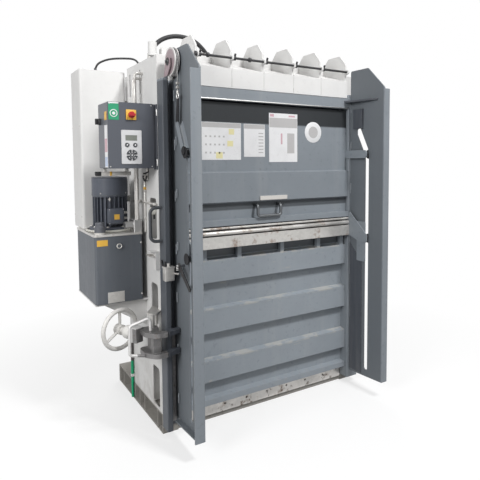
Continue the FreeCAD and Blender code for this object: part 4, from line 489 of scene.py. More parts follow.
def pulley_finish():
    """The pulley's moulded disc: paler at the rim, a dark hub and rings left by the rope."""
    colour = paints().pulley
    finish = moulded("pulley_disc", colour, 0.42)
    middle = middle_of("rope_pulley")
    radius = finish.far(middle.y, middle.z)
    finish.tint(finish.band(radius, 0.064, 0.067), (0.6, 0.58, 0.57))
    rings = finish.add("ShaderNodeMath", {0: radius, 1: 420.0}, operation="MULTIPLY").outputs[0]
    wave = finish.add("ShaderNodeMath", {0: rings}, operation="SINE").outputs[0]
    finish.tint(finish.band(wave, 0.2, 1.0), shade(colour, 0.6), 0.16)
    finish.tint(finish.band(radius, 0.02, 0.018), (0.03, 0.028, 0.03))


class Shape:
    """A piece's mesh while it is being made, in metres of the frame."""

    def __init__(self):
        self.mesh = bmesh.new()

    def _soften(self, verts, width, segments, rims_only=False):
        """Rounds the edges of what was just made, or only those of a round bar's two ends."""
        edges = {edge for vert in verts for edge in vert.link_edges}
        if rims_only:
            edges = {edge for edge in edges if any(len(face.verts) > 4 for face in edge.link_faces)}
        if width > 0:
            bmesh.ops.bevel(
                self.mesh, geom=list(edges), offset=width, segments=segments,
                profile=0.5, affect="EDGES", material=-1, clamp_overlap=True,
            )

    def block(self, low, high, soft=0.0, segments=2):
        """A block between two corners, its edges rounded."""
        low, high = Vector(low), Vector(high)
        verts = bmesh.ops.create_cube(self.mesh, size=1.0)["verts"]
        bmesh.ops.scale(self.mesh, vec=high - low, verts=verts)
        bmesh.ops.translate(self.mesh, vec=(low + high) / 2, verts=verts)
        self._soften(verts, soft, segments)

    def rod(self, start, end, radius, far_radius=None, sides=24, soft=0.0):
        """A round bar, or a cone, from start to end, its rims rounded."""
        start, end = Vector(start), Vector(end)
        run = end - start
        made = bmesh.ops.create_cone(
            self.mesh, cap_ends=True, cap_tris=False, segments=sides,
            radius1=radius, radius2=radius if far_radius is None else far_radius, depth=run.length,
        )
        turn = Vector(UP).rotation_difference(run).to_matrix().to_4x4()
        bmesh.ops.transform(self.mesh, matrix=Matrix.Translation((start + end) / 2) @ turn, verts=made["verts"])
        self._soften(made["verts"], soft, 2, True)

    def post(self, foot, top, *size, **shape):
        """An upright round bar from its foot to a height."""
        self.rod(foot, (foot[0], foot[1], top), *size, **shape)

    def ring(self, centre, axis, radius, wire, angle=2 * math.pi, steps=40, sides=12, start=None):
        """A round wire spun about an axis: a full ring, or an arc that begins at start."""
        axis = Vector(axis).normalized()
        begin = Vector(start) - axis * Vector(start).dot(axis) if start else axis.orthogonal()
        begin = begin.normalized()
        sideways = axis.cross(begin)
        verts = bmesh.ops.create_circle(self.mesh, cap_ends=False, radius=wire, segments=sides)["verts"]
        turn = Matrix((begin, axis, -sideways)).transposed().to_4x4()
        place = Matrix.Translation(Vector(centre) + begin * radius) @ turn
        bmesh.ops.transform(self.mesh, matrix=place, verts=verts)
        edges = list({edge for vert in verts for edge in vert.link_edges})
        whole = abs(angle - 2 * math.pi) < 1e-6
        spun = bmesh.ops.spin(
            self.mesh, geom=verts + edges, cent=Vector(centre), axis=axis,
            angle=angle, steps=steps, use_merge=whole, use_duplicate=False,
        )
        if not whole:
            last = [item for item in spun["geom_last"] if isinstance(item, bmesh.types.BMEdge)]
            bmesh.ops.contextual_create(self.mesh, geom=edges)
            bmesh.ops.contextual_create(self.mesh, geom=last)

    def bolt(self, centre, axis, radius):
        """A hex head on its washer, standing on the surface at centre."""
        centre, axis = Vector(centre), Vector(axis).normalized()
        foot = centre - axis * 0.001
        self.rod(foot, centre + axis * radius * 0.18, radius * 1.3, sides=20, soft=radius * 0.05)
        self.rod(foot, centre + axis * radius * 0.85, radius, sides=6, soft=radius * 0.12)

    def screw(self, centre, axis, radius):
        """A domed screw head with a socket ring."""
        centre, axis = Vector(centre), Vector(axis).normalized()
        self.rod(centre - axis * 0.001, centre + axis * radius * 0.45, radius, radius * 0.72, 16, radius * 0.12)
        self.rod(centre, centre + axis * radius * 0.55, radius * 0.34, sides=6, soft=radius * 0.04)

    def bead(self, start, end, radius):
        """A weld bead of overlapping drops along a seam."""
        start, end = Vector(start), Vector(end)
        count = max(2, int((end - start).length / (radius * 1.6)))
        for k in range(count + 1):
            made = bmesh.ops.create_icosphere(self.mesh, subdivisions=1, radius=radius)["verts"]
            bmesh.ops.translate(self.mesh, vec=start.lerp(end, k / count), verts=made)

    def screws(self, face, radius, columns, rows):
        """Screws on a surface that faces -Y, at every crossing of the columns and rows."""
        for x in columns:
            for z in rows:
                self.screw((x, face, z), FRONT, radius)

    def finish(self, name, body, finish, slot):
        """Makes the piece, shades it, and sets it on its body if it is given one."""
        bmesh.ops.remove_doubles(self.mesh, verts=self.mesh.verts, dist=1e-6)
        bmesh.ops.recalc_face_normals(self.mesh, faces=self.mesh.faces)
        mesh = bpy.data.meshes.new(name)
        self.mesh.to_mesh(mesh)
        self.mesh.free()
        for polygon in mesh.polygons:
            polygon.use_smooth = True
        mesh.set_sharp_from_angle(angle=SHARP_ANGLE)
        mesh.materials.append(look(finish))
        piece = add_object(name, mesh)
        if body:
            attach(piece, body)
        return piece


def look(name):
    """A finish that the paint operator has made."""
    if name not in bpy.data.materials:
        raise RuntimeError(f"the finish {name} isn't there: mix the paints first")
    return bpy.data.materials[name]


def around(count, first):
    """Even directions about Z, the first one turned from X by degrees."""
    turns = [math.radians(first + step * 360 / count) for step in range(count)]
    return [Vector((math.cos(turn), math.sin(turn), 0)) for turn in turns]


def slab(name, body, colours, *block):
    """A piece that is one block; colours are its finish and slot."""
    shape = Shape()
    shape.block(*block)
    shape.finish(name, body, *colours)


class BALER_OT_paints(bpy.types.Operator):
    """Mixes every finish that the pieces use"""

    bl_idname = "baler.paints"
    bl_label = "Mix Paints"

    def execute(self, context):
        paint = paints()
        enamel("tank_grey", paint.tank, 0.34, 0.2, 0.5, 0.12)
        enamel("motor_grey", paint.motor, 0.38, 0.3, 0.6, 0.15)
        enamel("beam_grey", paint.beams, 0.6, 0.7, 1.0, 0.4, (0.62, 0.6, 0.57))
        enamel("wheel_cream", paint.wheel, 0.4, 0.3, 0.5, 0.1, (0.3, 0.26, 0.22))
        enamel("handle_grey", (0.08, 0.085, 0.095), 0.36, 0.3, 0.6)
        white_enamel()
        flap_enamel()
        panel_enamel()
        bracket_enamel()
        frame_enamel()
        fin_enamel()
        lid_zinc()
        hook_iron()
        latch_steel()
        floor_zinc()
        cabinet_enamel()
        zinc("zinc_clean", 0.12, 0.3)
        zinc("zinc_dirty", 0.6, 0.5)
        metal("steel_ground", paint.steel)
        metal("steel_dark", (0.2, 0.195, 0.19), 0.42)
        cast("iron_dark", paint.iron)
        cast("iron_black", (0.03, 0.03, 0.032), 0.5, 0.3, 0.35)
        cast("rope_wire", (0.2, 0.2, 0.2), 0.45, 0.9, 0.2)
        cast("weld_grey", shade(paint.door, 1.25), 0.45, 0.2, 0.5)
        cast("weld_white", (0.6, 0.59, 0.58), 0.5, 0.1, 0.2)
        moulded("rubber_black", (0.022, 0.022, 0.024), 0.62)
        fitting_enamel()
        enamel("rim_cream", (0.66, 0.65, 0.6), 0.4, 0.2, 0.5, 0.1, (0.3, 0.26, 0.22))
        metal("wire_bright", (0.78, 0.77, 0.75), 0.34)
        moulded("plastic_black", (0.03, 0.03, 0.033), 0.45)
        moulded("key_grey", (0.05, 0.053, 0.06), 0.5)
        moulded("keypad_film", (0.66, 0.66, 0.67), 0.4, 0.08, 0.05)
        moulded("display_film", (0.2, 0.215, 0.19), 0.22, 0.05, 0.02)
        moulded("switch_red", paint.red, 0.4, 0.1)
        pulley_finish()
        stowed_metal()
        printed("card_white", paint.card)
        printed("card_grey", (0.5, 0.49, 0.49), 0.45, 0.15)
        printed("card_pale_yellow", (0.8, 0.74, 0.42), 0.45, 0.1)
        printed("card_yellow", paint.yellow)
        printed("card_green", paint.green)
        printed("card_blue", (0.5, 0.58, 0.74), 0.45, 0.1)
        printed("card_rose", (0.62, 0.4, 0.45), 0.45, 0.15)
        return {"FINISHED"}


# The finish of every CAD node that shows.
NODE_LOOKS = {
    "beam_grey": ("base_frame",),
    "floor_zinc": ("floor_plate",),
    "zinc_dirty": ("flap_bars",),
    "zinc_clean": ("oil_pipes", "lock_bracket"),
    "lid_zinc": ("tank_lid",),
    "body_white": (
        "side_frame_left", "side_frame_right", "rear_wall", "head_frame", "head_panel", "pipe_cover",
        "side_brackets",
    ),
    "tank_grey": ("oil_tank", "cylinder_barrel", "ram"),
    "motor_grey": ("motor_body", "fan_cowl"),
    "frame_grey": ("door_frame", "door_hinges"),
    "fin_grey": ("fin_left", "fin_right"),
    "panel_grey": ("door_panel",),
    "flap_grey": ("flap_panel",),
    "bracket_grey": ("flap_brackets",),
    "cabinet_grey": ("cabinet_box", "cabinet_door"),
    "wheel_cream": ("handwheel", "lock_spindle"),
    "hook_iron": ("hook_plates",),
    "iron_dark": ("counterweight",),
    "iron_black": ("tape_shaft", "release_lever"),
    "handle_grey": ("grab_handle",),
    "steel_ground": ("cylinder_stage_outer", "cylinder_stage_inner", "cylinder_plunger", "valve_block"),
    "latch_steel": ("flap_handle",),
    "steel_dark": ("motor_rotor",),
    "fitting_grey": ("fin_fittings",),
    "rod_steel": ("stowed_rod",),
    "pulley_disc": ("rope_pulley",),
    "plastic_black": [f"flap_roller_{count}" for count in range(1, 5)],
    "keypad_film": ("keypad",),
    "switch_red": ("switch_knob",),
    "key_grey": [f"key_{count}" for count in range(1, 8)],
}


class BALER_OT_nodes(bpy.types.Operator):
    """Gives every CAD node its finish"""

    bl_idname = "baler.nodes"
    bl_label = "Paint Frame"

    def execute(self, context):
        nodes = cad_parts
        left = set(nodes) - {"hydraulic_hose", "cover_cable", "rope_front", "rope_rear"}
        for finish, names in NODE_LOOKS.items():
            for name in names:
                mesh = nodes[name].data
                mesh.materials.clear()
                mesh.materials.append(look(finish))
                left.discard(name)
        if left:
            raise RuntimeError(f"these nodes have no finish: {sorted(left)}")
        return {"FINISHED"}


def tube(name, route, radius, body, finish, slot):
    """A smooth hose or cable whose route's points are the control points of one NURBS line."""
    curve = bpy.data.curves.new(name, "CURVE")
    curve.dimensions = "3D"
    spline = curve.splines.new("NURBS")
    spline.points.add(len(route) - 1)
    for point, place in zip(spline.points, route):
        point.co = (*place, 1.0)
    spline.order_u = 3
    spline.use_endpoint_u = True
    spline.resolution_u = 12
    curve.bevel_depth = radius
    curve.bevel_resolution = 5
    curve.use_fill_caps = True
    curve.materials.append(look(finish))
    piece = add_object(name, curve)
    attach(piece, body)
    return piece


class BALER_OT_hoses(bpy.types.Operator):
    """Lays the press hose and the cable of the pipe cover, with their ferrules"""

    bl_idname = "baler.hoses"
    bl_label = "Hoses"

    def execute(self, context):
        hose = tube("press_hose", HOSE_ROUTE, sizes().hose, "frame", *RUBBER)
        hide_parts("hydraulic_hose")
        cable = tube("loom_cable", CABLE_ROUTE, sizes().cable, "frame", *RUBBER)
        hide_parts("cover_cable")
        ferrules = Shape()
        for x, y, z in (HOSE_ROUTE[0], HOSE_ROUTE[-1]):
            ferrules.post((x, y, z), z + 0.016, 0.019, sides=6, soft=0.0015)
            ferrules.post((x, y, z + 0.015), z + 0.05, 0.0162, sides=32, soft=0.001)
            for low in (z + 0.022, z + 0.038):
                ferrules.post((x, y, low), low + 0.004, 0.0172, sides=32, soft=0.001)
        ferrules.finish("hose_ferrules", "frame", *PLATED)
        glands = Shape()
        for x, y, z in (CABLE_ROUTE[0], CABLE_ROUTE[-1]):
            glands.post((x, y, z), z + 0.008, 0.0115, sides=6, soft=0.0008)
            glands.post((x, y, z + 0.007), z + 0.022, 0.0095, 0.0072, 20, 0.0006)
        glands.finish("cable_glands", "frame", *PLASTIC)
        return {"FINISHED"}


class BALER_OT_rope(bpy.types.Operator):
    """Leads the wire rope over the pulley and clamps its ends"""

    bl_idname = "baler.rope"
    bl_label = "Rope"

    def execute(self, context):
        middle, line = middle_of("rope_pulley"), middle_of("rope_front")
        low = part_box("rope_front")[0]
        over = Shape()
        over.ring(middle, LEFT, middle.y - low.y - sizes().rope, sizes().rope, math.pi, 28, 10, FRONT)
        over.finish("rope_over_pulley", "door", *ROPE)
        self.run("rope_to_flap", "rope_front", "flap")
        self.run("rope_to_weight", "rope_rear", "weight")
        hub = Shape()
        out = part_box("rope_pulley")[0].x - 0.012
        outside = (out - 0.003, middle.y, middle.z)
        hub.rod((out + 0.004, middle.y, middle.z), outside, 0.021, sides=32, soft=0.001)
        hub.bolt(outside, LEFT, 0.0095)
        hub.finish("pulley_bolt", "door", "iron_black", "dark_paint")
        clamps = Shape()
        for z in (low.z + 0.03, low.z + 0.052):
            clamps.block((line.x - 0.009, line.y - 0.006, z), (line.x + 0.009, line.y + 0.006, z + 0.012), 0.0015)
        clamps.post((line.x, line.y, low.z + 0.004), low.z + 0.02, 0.0075, sides=20, soft=0.001)
        clamps.finish("rope_clamps", "flap", *PLATED)
        return {"FINISHED"}

    def run(self, name, node, body):
        """A straight run of rope from the pulley down to its foot, cut finely along its length; the body is not
        used.
        """
        low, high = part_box(node)
        middle = (low + high) / 2
        top, foot = (middle.x, middle.y, high.z), (middle.x, middle.y, low.z)
        rope = Shape()
        rope.rod(foot, top, sizes().rope, sides=12)
        upright = [edge for edge in rope.mesh.edges if abs(edge.verts[0].co.z - edge.verts[1].co.z) > 0.01]
        bmesh.ops.subdivide_edges(rope.mesh, edges=upright, cuts=30)
        piece = rope.finish(name, None, *ROPE)
        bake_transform(piece)
        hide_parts(node)


def cards(shape, face, sheet, *places):
    """Thin cards on a surface that faces -Y, each from its low corner to its high one in X and Z."""
    for left, low, right, high in places:
        shape.block((left, face - sheet, low), (right, face + CARD_GRIP, high), sheet * 0.45, 1)


def disc(shape, face, sheet, radius, **rim):
    """The round card, or the field on it, on a surface that faces -Y."""
    back, front = ((ROUND_CARD_X, y, ROUND_CARD_Z) for y in (face + CARD_GRIP, face - sheet))
    shape.rod(back, front, radius, **rim)


class BALER_OT_cards(bpy.types.Operator):
    """Sticks the bare cards on the flap, the cabinet and the tank"""

    bl_idname = "baler.cards"
    bl_label = "Cards"

    def execute(self, context):
        sheet = sizes().card_sheet
        white = Shape()
        places = ((-0.46, 1.544, -0.21, 1.757), (-0.19, 1.562, -0.045, 1.755), (-0.015, 1.531, 0.195, 1.828))
        cards(white, FLAP_FACE, sheet, *places)
        disc(white, FLAP_FACE, sheet, 0.066, sides=64, soft=0.0004)
        white.finish("flap_cards", "flap", *WHITE_CARD)
        self.fields(FLAP_FACE - sheet)
        self.leaf_cards(sheet)
        self.side_cards(sheet)
        self.tank_cards(sheet)
        return {"FINISHED"}

    def fields(self, face):
        """Plain colour fields on the flap's cards."""
        grey = Shape()
        cards(
            grey, face, PRINT_SHEET,
            (-0.458, 1.728, -0.212, 1.755), (-0.188, 1.728, -0.047, 1.753),
            (-0.012, 1.742, 0.192, 1.8), (0.118, 1.585, 0.172, 1.708),
            *((-0.09, 1.585 + row * 0.019, -0.056, 1.591 + row * 0.019) for row in range(7)),
        )
        for row in range(3):
            for column in range(5):
                x, z = -0.44 + column * 0.028, 1.58 + row * 0.046
                cards(grey, face, PRINT_SHEET, (x, z, x + 0.011, z + 0.01))
        disc(grey, face, PRINT_SHEET, 0.037, sides=48)
        grey.finish("card_fields_grey", "flap", "card_grey", "white_paint")
        pale = (-0.29, 1.69, -0.255, 1.722), (-0.372, 1.552, -0.33, 1.588), (-0.3, 1.622, -0.262, 1.654)
        rose = (-0.008, 1.806, 0.02, 1.822), (0.128, 1.808, 0.176, 1.818), (0.07, 1.64, 0.082, 1.706)
        for name, finish, places in (
            ("card_fields_pale", "card_pale_yellow", pale), ("card_fields_rose", "card_rose", rose),
        ):
            fields = Shape()
            cards(fields, face, PRINT_SHEET, *places)
            fields.finish(name, "flap", finish, "white_paint")

    def leaf_cards(self, sheet):
        """The green card on the cabinet's leaf, with its pale strip and ring."""
        green = Shape()
        cards(green, LEAF_FACE, sheet, (-0.949, 1.752, -0.896, 1.836))
        green.finish("green_card", "cabinet_leaf", "card_green", "white_paint")
        marks = Shape()
        cards(marks, LEAF_FACE, sheet, (-0.949, 1.8362, -0.896, 1.843))
        middle = Vector((-0.9225, LEAF_FACE - sheet, 1.786))
        marks.ring(middle, BACK, 0.018, 0.0022, sides=8)
        marks.rod(middle, middle + Vector(FRONT) * 0.001, 0.008, sides=24)
        marks.finish("green_card_marks", "cabinet_leaf", *WHITE_CARD)

    def side_cards(self, sheet):
        """The striped card on the cabinet's left side."""
        out, grip = CABINET_SIDE - sheet, CABINET_SIDE + CARD_GRIP
        slab("side_card", "frame", WHITE_CARD, (out, -0.372, 1.505), (grip, -0.318, 1.725), sheet * 0.4, 1)
        for name, finish, low, high in (
            ("side_card_rose", "card_rose", 1.585, 1.655), ("side_card_blue", "card_blue", 1.51, 1.56),
        ):
            corners = (out - PRINT_SHEET, -0.368, low), (out + 0.0002, -0.322, high)
            slab(name, "frame", (finish, "white_paint"), *corners, 0.0001, 1)

    def tank_cards(self, sheet):
        """The yellow cards and the tank's plate, and the yellow plate behind the main switch."""
        yellow = Shape()
        cards(yellow, TANK_FACE, sheet, (-0.978, 1.065, -0.919, 1.099))
        corners = (CABINET_SIDE - sheet, -0.362, 1.752), (CABINET_SIDE + CARD_GRIP, -0.322, 1.796)
        yellow.block(*corners, sheet * 0.4, 1)
        yellow.finish("yellow_cards", "frame", *YELLOW_CARD)
        slab("switch_plate", "cabinet_leaf", YELLOW_CARD, (-0.86, -0.3868, 1.7545), (-0.806, -0.3836, 1.808), 0.0012)
        plate = Shape()
        cards(plate, TANK_FACE, sheet, (-0.925, 0.738, -0.832, 0.8))
        plate.screws(TANK_FACE - sheet, 0.0022, (-0.921, -0.836), (0.742, 0.796))
        plate.finish("tank_plate", "frame", *PLATED)


class BALER_OT_keypad(bpy.types.Operator):
    """Fits the keypad's window and the marks on its keys"""

    bl_idname = "baler.keypad"
    bl_label = "Keypad"

    def execute(self, context):
        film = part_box("keypad")[0].y
        corners = (-0.8645, film + 0.0006, 1.646), (-0.8035, film + 0.0014, 1.674)
        slab("display_window", "cabinet_leaf", ("display_film", "black_plastic"), *corners, 0.0002, 1)
        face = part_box("key_1")[0].y
        for count, (x, z) in enumerate(((-0.857, 1.623), (-0.814, 1.623), (KEYPAD_X, KEYPAD_Z)), 1):
            dot = Shape()
            dot.rod((x, face + 0.0003, z), (x, face - 0.0004, z), 0.0038, sides=20)
            dot.finish(f"key_{count}_mark", f"button_{count}", *WHITE_CARD)
        front = Vector(FRONT)
        for count in range(4, 8):
            middle = middle_of(f"key_{count}")
            away = Vector((middle.x - KEYPAD_X, 0, middle.z - KEYPAD_Z)).normalized()
            turn = Matrix((away.cross(front), away, front)).transposed().to_4x4()
            turn.translation = Vector((KEYPAD_X, face, KEYPAD_Z)) + away * 0.0215
            arrow = Shape()
            bmesh.ops.create_cone(
                arrow.mesh, cap_ends=True, cap_tris=False, segments=3,
                radius1=0.0042, radius2=0.0042, depth=0.0007, matrix=turn,
            )
            arrow.finish(f"key_{count}_mark", f"button_{count}", *WHITE_CARD)
        return {"FINISHED"}


class BALER_OT_head(bpy.types.Operator):
    """Welds the dividers to the tray and fits the tape bar's knobs"""

    bl_idname = "baler.head"
    bl_label = "Head"

    def execute(self, context):
        welds = Shape()
        for x in DIVIDER_WELDS:
            welds.post((x + 0.005, -0.4554, 1.962), 2.062, 0.0016, sides=8)
            welds.bead((x + 0.011, -0.452, 2.068), (x + 0.011, -0.214, 2.129), 0.0022)
        welds.finish("divider_welds", "frame", *WHITE_WELD)
        knobs = Shape()
        for x in (-0.495, -0.423, -0.155):
            knobs.rod((x - 0.007, -0.4635, 2.125), (x + 0.007, -0.4635, 2.125), 0.0135, sides=24, soft=0.002)
        knobs.finish("tape_knobs", "tape_bar", *PLASTIC)
        return {"FINISHED"}


class BALER_OT_motor(bpy.types.Operator):
    """Fits the motor's terminal lid, glands, eye, foot bolts and cowl rim"""

    bl_idname = "baler.motor"
    bl_label = "Motor"

    def execute(self, context):
        bolts = Shape()
        for out in around(8, 22.5):
            bolts.bolt((MOTOR_X + 0.109 * out.x, MOTOR_Y + 0.109 * out.y, 1.155), UP, 0.0068)
        for out in around(4, 45):
            bolts.screw(Vector((MOTOR_X, MOTOR_Y, 1.352)) + out * 0.102, out, 0.0045)
        bolts.finish("motor_bolts", "frame", *PLATED)
        rims = Shape()
        for z, radius in ((1.3405, 0.1022), (1.443, 0.1)):
            rims.ring((MOTOR_X, MOTOR_Y, z), UP, radius, 0.0022, steps=64, sides=8)
        rims.finish("cowl_rims", "frame", "tank_grey", "motor_blue")
        seat = Shape()
        seat.ring((MOTOR_X, MOTOR_Y, LID_TOP + 0.0075), UP, 0.1345, 0.0065, steps=72, sides=10)
        seat.finish("motor_seat", "frame", *CREAM)
        lid = Shape()
        lid.block((-0.892, MOTOR_FACE - 0.0045, 1.176), (-0.804, MOTOR_FACE + 0.001, 1.266), 0.002)
        lid.block((-0.886, MOTOR_FACE - 0.0075, 1.182), (-0.81, MOTOR_FACE - 0.003, 1.26), 0.002)
        lid.finish("terminal_lid", "frame", "motor_grey", "motor_blue")
        screws = Shape()
        screws.screws(MOTOR_FACE - 0.0045, 0.003, (-0.8875, -0.8085), (1.1805, 1.2615))
        x = MOTOR_X - 0.03
        screws.rod((x, MOTOR_Y - 0.086, 1.318), (x, MOTOR_Y - 0.1, 1.318), 0.005, sides=16, soft=0.0008)
        screws.ring((x, MOTOR_Y - 0.106, 1.318), RIGHT, 0.009, 0.0028, steps=28, sides=8)
        screws.finish("motor_fasteners", "frame", *PLATED)
        mark = Shape()
        cards(mark, MOTOR_FACE - 0.0075, 0.0006, (-0.862, 1.203, -0.832, 1.233))
        mark.finish("motor_card", "frame", *YELLOW_CARD)
        glands = Shape()
        y = MOTOR_FACE + 0.022
        for z in (1.206, 1.238):
            glands.rod((-0.806, y, z), (-0.796, y, z), 0.0105, sides=6, soft=0.001)
            glands.rod((-0.797, y, z), (-0.78, y, z), 0.0085, 0.006, 20, 0.0008)
        glands.finish("motor_glands", "frame", *PLATED)
        return {"FINISHED"}


class BALER_OT_wiring(bpy.types.Operator):
    """Runs the conduits and the bar beside the cabinet, and fits the door's switch and the rope's ring"""

    bl_idname = "baler.wiring"
    bl_label = "Wiring"

    def execute(self, context):
        bar = Shape()
        bar.block((-0.952, -0.216, 1.458), (-0.787, -0.204, 1.48), 0.002)
        for x in (-0.93, -0.812):
            bar.block((x - 0.009, -0.213, 1.478), (x + 0.009, -0.207, 1.4995), 0.001)
        bar.finish("cabinet_bar", "frame", *PLATED)
        end = ("rubber_black", "black_plastic")
        slab("cabinet_bar_end", "frame", end, (-0.983, -0.217, 1.457), (-0.95, -0.203, 1.481), 0.003)
        slab("cabinet_bar_sleeve", "frame", YELLOW_CARD, (-0.905, -0.2172, 1.4568), (-0.893, -0.2028, 1.4812), 0.001)
        self.conduits(WALL - 0.007)
        self.door_switch()
        self.cabinet_edge()
        return {"FINISHED"}

    def conduits(self, x):
        """The conduits on the chamber's left wall, with the shelf and the knob beside them."""
        inner = WALL + 0.001
        dark = Shape()
        dark.post((x, -0.045, 1.298), 1.4995, 0.0055, sides=16, soft=0.0008)
        dark.ring((x - 0.02, -0.232, 1.4995), BACK, 0.032, 0.0052, math.pi * 0.55, 20, 10, RIGHT)
        dark.ring((x - 0.006, -0.205, 1.455), RIGHT, 0.03, 0.0048, math.pi, 24, 10, FRONT)
        dark.post((x, -0.33, 1.215), 1.298, 0.0058, sides=16, soft=0.0008)
        dark.finish("dark_conduits", "frame", *RUBBER)
        light = Shape()
        light.post((x, -0.18, 1.128), 1.432, 0.0075, sides=20, soft=0.001)
        light.ring((x, -0.205, 1.432), RIGHT, 0.025, 0.006, math.pi, 24, 10, BACK)
        light.post((x, -0.23, 1.432), 1.4995, 0.006, sides=16)
        light.rod((x - 0.002, 0.03, 1.3), (x - 0.002, -0.372, 1.3), 0.0062, sides=20, soft=0.001)
        for y, z in ((-0.18, 1.2), (-0.18, 1.36), (-0.045, 1.42)):
            light.block((WALL - 0.017, y - 0.01, z), (inner, y + 0.01, z + 0.014), 0.0015)
        for y in (-0.345, -0.09):
            light.block((WALL - 0.017, y - 0.007, 1.2915), (inner, y + 0.007, 1.3085), 0.0015)
        light.finish("light_conduits", "frame", *PLATED)
        shelf = Shape()
        shelf.block((-0.742, -0.388, 1.012), (inner, -0.3, 1.017), 0.0015)
        shelf.block((WALL - 0.004, -0.38, 0.985), (inner, -0.31, 1.014), 0.0012)
        shelf.finish("side_shelf", "frame", *STAINED)
        knob = Shape()
        knob.rod((inner, -0.324, 1.26), (WALL - 0.03, -0.324, 1.26), 0.023, 0.021, 32, 0.003)
        knob.rod((WALL - 0.029, -0.324, 1.26), (WALL - 0.034, -0.324, 1.26), 0.014, sides=24, soft=0.0015)
        knob.finish("wall_knob", "frame", *CREAM)
        band = Shape()
        band.post((x, -0.18, 1.372), 1.388, 0.0082, sides=20, soft=0.0008)
        band.finish("conduit_band", "frame", *YELLOW_CARD)

    def door_switch(self):
        """The switch box beside the door's lever, with its plunger, and the ring at the rope's end."""
        box = Shape()
        box.block((-0.708, -0.512, 0.897), (-0.656, -0.4702, 0.968), 0.003)
        box.block((-0.711, -0.514, 0.966), (-0.653, -0.4702, 0.974), 0.0015)
        box.post((-0.682, -0.49, 0.973), 0.99, 0.009, sides=20, soft=0.001)
        box.rod((-0.657, -0.492, 0.932), (-0.6475, -0.548, 0.94), 0.0045, sides=14, soft=0.0006)
        box.finish("door_switch", "door", *PLATED)
        lead = Shape()
        lead.post((-0.7, -0.49, 0.972), 1.002, 0.0055, sides=12)
        lead.ring((-0.7, -0.462, 1.0), RIGHT, 0.028, 0.0055, math.pi, 24, 10, FRONT)
        lead.rod((-0.7, -0.434, 1.001), (-0.7, -0.434, 0.984), 0.0055, sides=12)
        lead.rod((-0.7035, -0.434, 0.988), (-0.69, -0.434, 0.988), 0.0075, sides=16, soft=0.001)
        lead.finish("door_switch_lead", "door", *RUBBER)
        spring = Shape()
        for turn in range(4):
            spring.ring((-0.6605, -0.566, 0.965 + turn * 0.008), (0, 0.35, 1), 0.0065, 0.0017, steps=20, sides=8)
        spring.finish("lever_spring", "release", *BRIGHT)
        eye = Shape()
        line, foot = middle_of("rope_front"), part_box("rope_front")[0].z
        eye.ring((line.x - 0.001, line.y, foot - 0.006), RIGHT, 0.0135, 0.0032, steps=28, sides=10)
        eye.finish("rope_eye", "flap", *BRIGHT)

    def cabinet_edge(self):
        """The dark sheet between the cabinet and the chamber, and the leaf's bright hinges."""
        sheet = Shape()
        sheet.block((-0.7075, -0.37, 1.492), (-0.6915, -0.364, 1.845), 0.001)
        sheet.block((-0.6985, -0.389, 1.492), (-0.6921, -0.364, 1.845), 0.001)
        sheet.finish("cabinet_wing", "frame", "cabinet_grey", "grey_paint")
        hinges = Shape()
        for z in (1.53, 1.8):
            hinges.post((-0.6955, -0.3878, z - 0.018), z + 0.018, 0.0032, sides=20, soft=0.0006)
            hinges.block((-0.6957, -0.3895, z - 0.014), (-0.6912, -0.3855, z + 0.014), 0.0006)
        hinges.finish("leaf_hinges", "frame", *BRIGHT)


class BALER_OT_fasteners(bpy.types.Operator):
    """Sets the bolts and screws of the frame, the tank, the pipe cover and the cabinet"""

    bl_idname = "baler.fasteners"
    bl_label = "Fasteners"

    def execute(self, context):
        bolt = sizes().bolt
        fixed = Shape()
        for x in (-0.978, -0.734):
            for y in (-0.18, 0.03, 0.24):
                fixed.bolt((x, y, LID_TOP), UP, bolt * 0.62)
        fixed.screws(TANK_FACE, 0.006, (-0.731,), (1.07, 0.769))
        fixed.ring((-0.858, TANK_FACE - 0.0095, 1.06), BACK, 0.0125, 0.0034, steps=32, sides=10)
        for out in around(8, 22.5):
            fixed.bolt((0.116 * out.x, 0.116 * out.y, 2.109), UP, bolt * 0.9)
        for z in (1.75, 1.2):
            for y in (0.175, 0.365):
                fixed.screw((-0.9745, y, z), LEFT, 0.006)
        fixed.finish("frame_bolts", "frame", *PLATED)
        leaf = Shape()
        leaf.screws(LEAF_FACE, 0.0042, (-0.944, -0.722), (1.509, 1.835))
        leaf.screws(LEAF_FACE - 0.004, 0.0026, (-0.881, -0.784), (1.696, 1.528))
        leaf.screws(LEAF_FACE - 0.004, 0.0026, (-0.8535, -0.8105), (1.8015, 1.7605))
        leaf.finish("leaf_screws", "cabinet_leaf", *PLATED)
        knob = Shape()
        root, out = CABINET_SIDE + 0.001, CABINET_SIDE - 0.01
        knob.rod((root, -0.227, 1.75), (out, -0.227, 1.75), 0.019, 0.017, 32, 0.002)
        knob.block((out - 0.016, -0.2315, 1.734), (out + 0.002, -0.2225, 1.766), 0.002)
        knob.finish("side_knob", "frame", *PLASTIC)
        return {"FINISHED"}


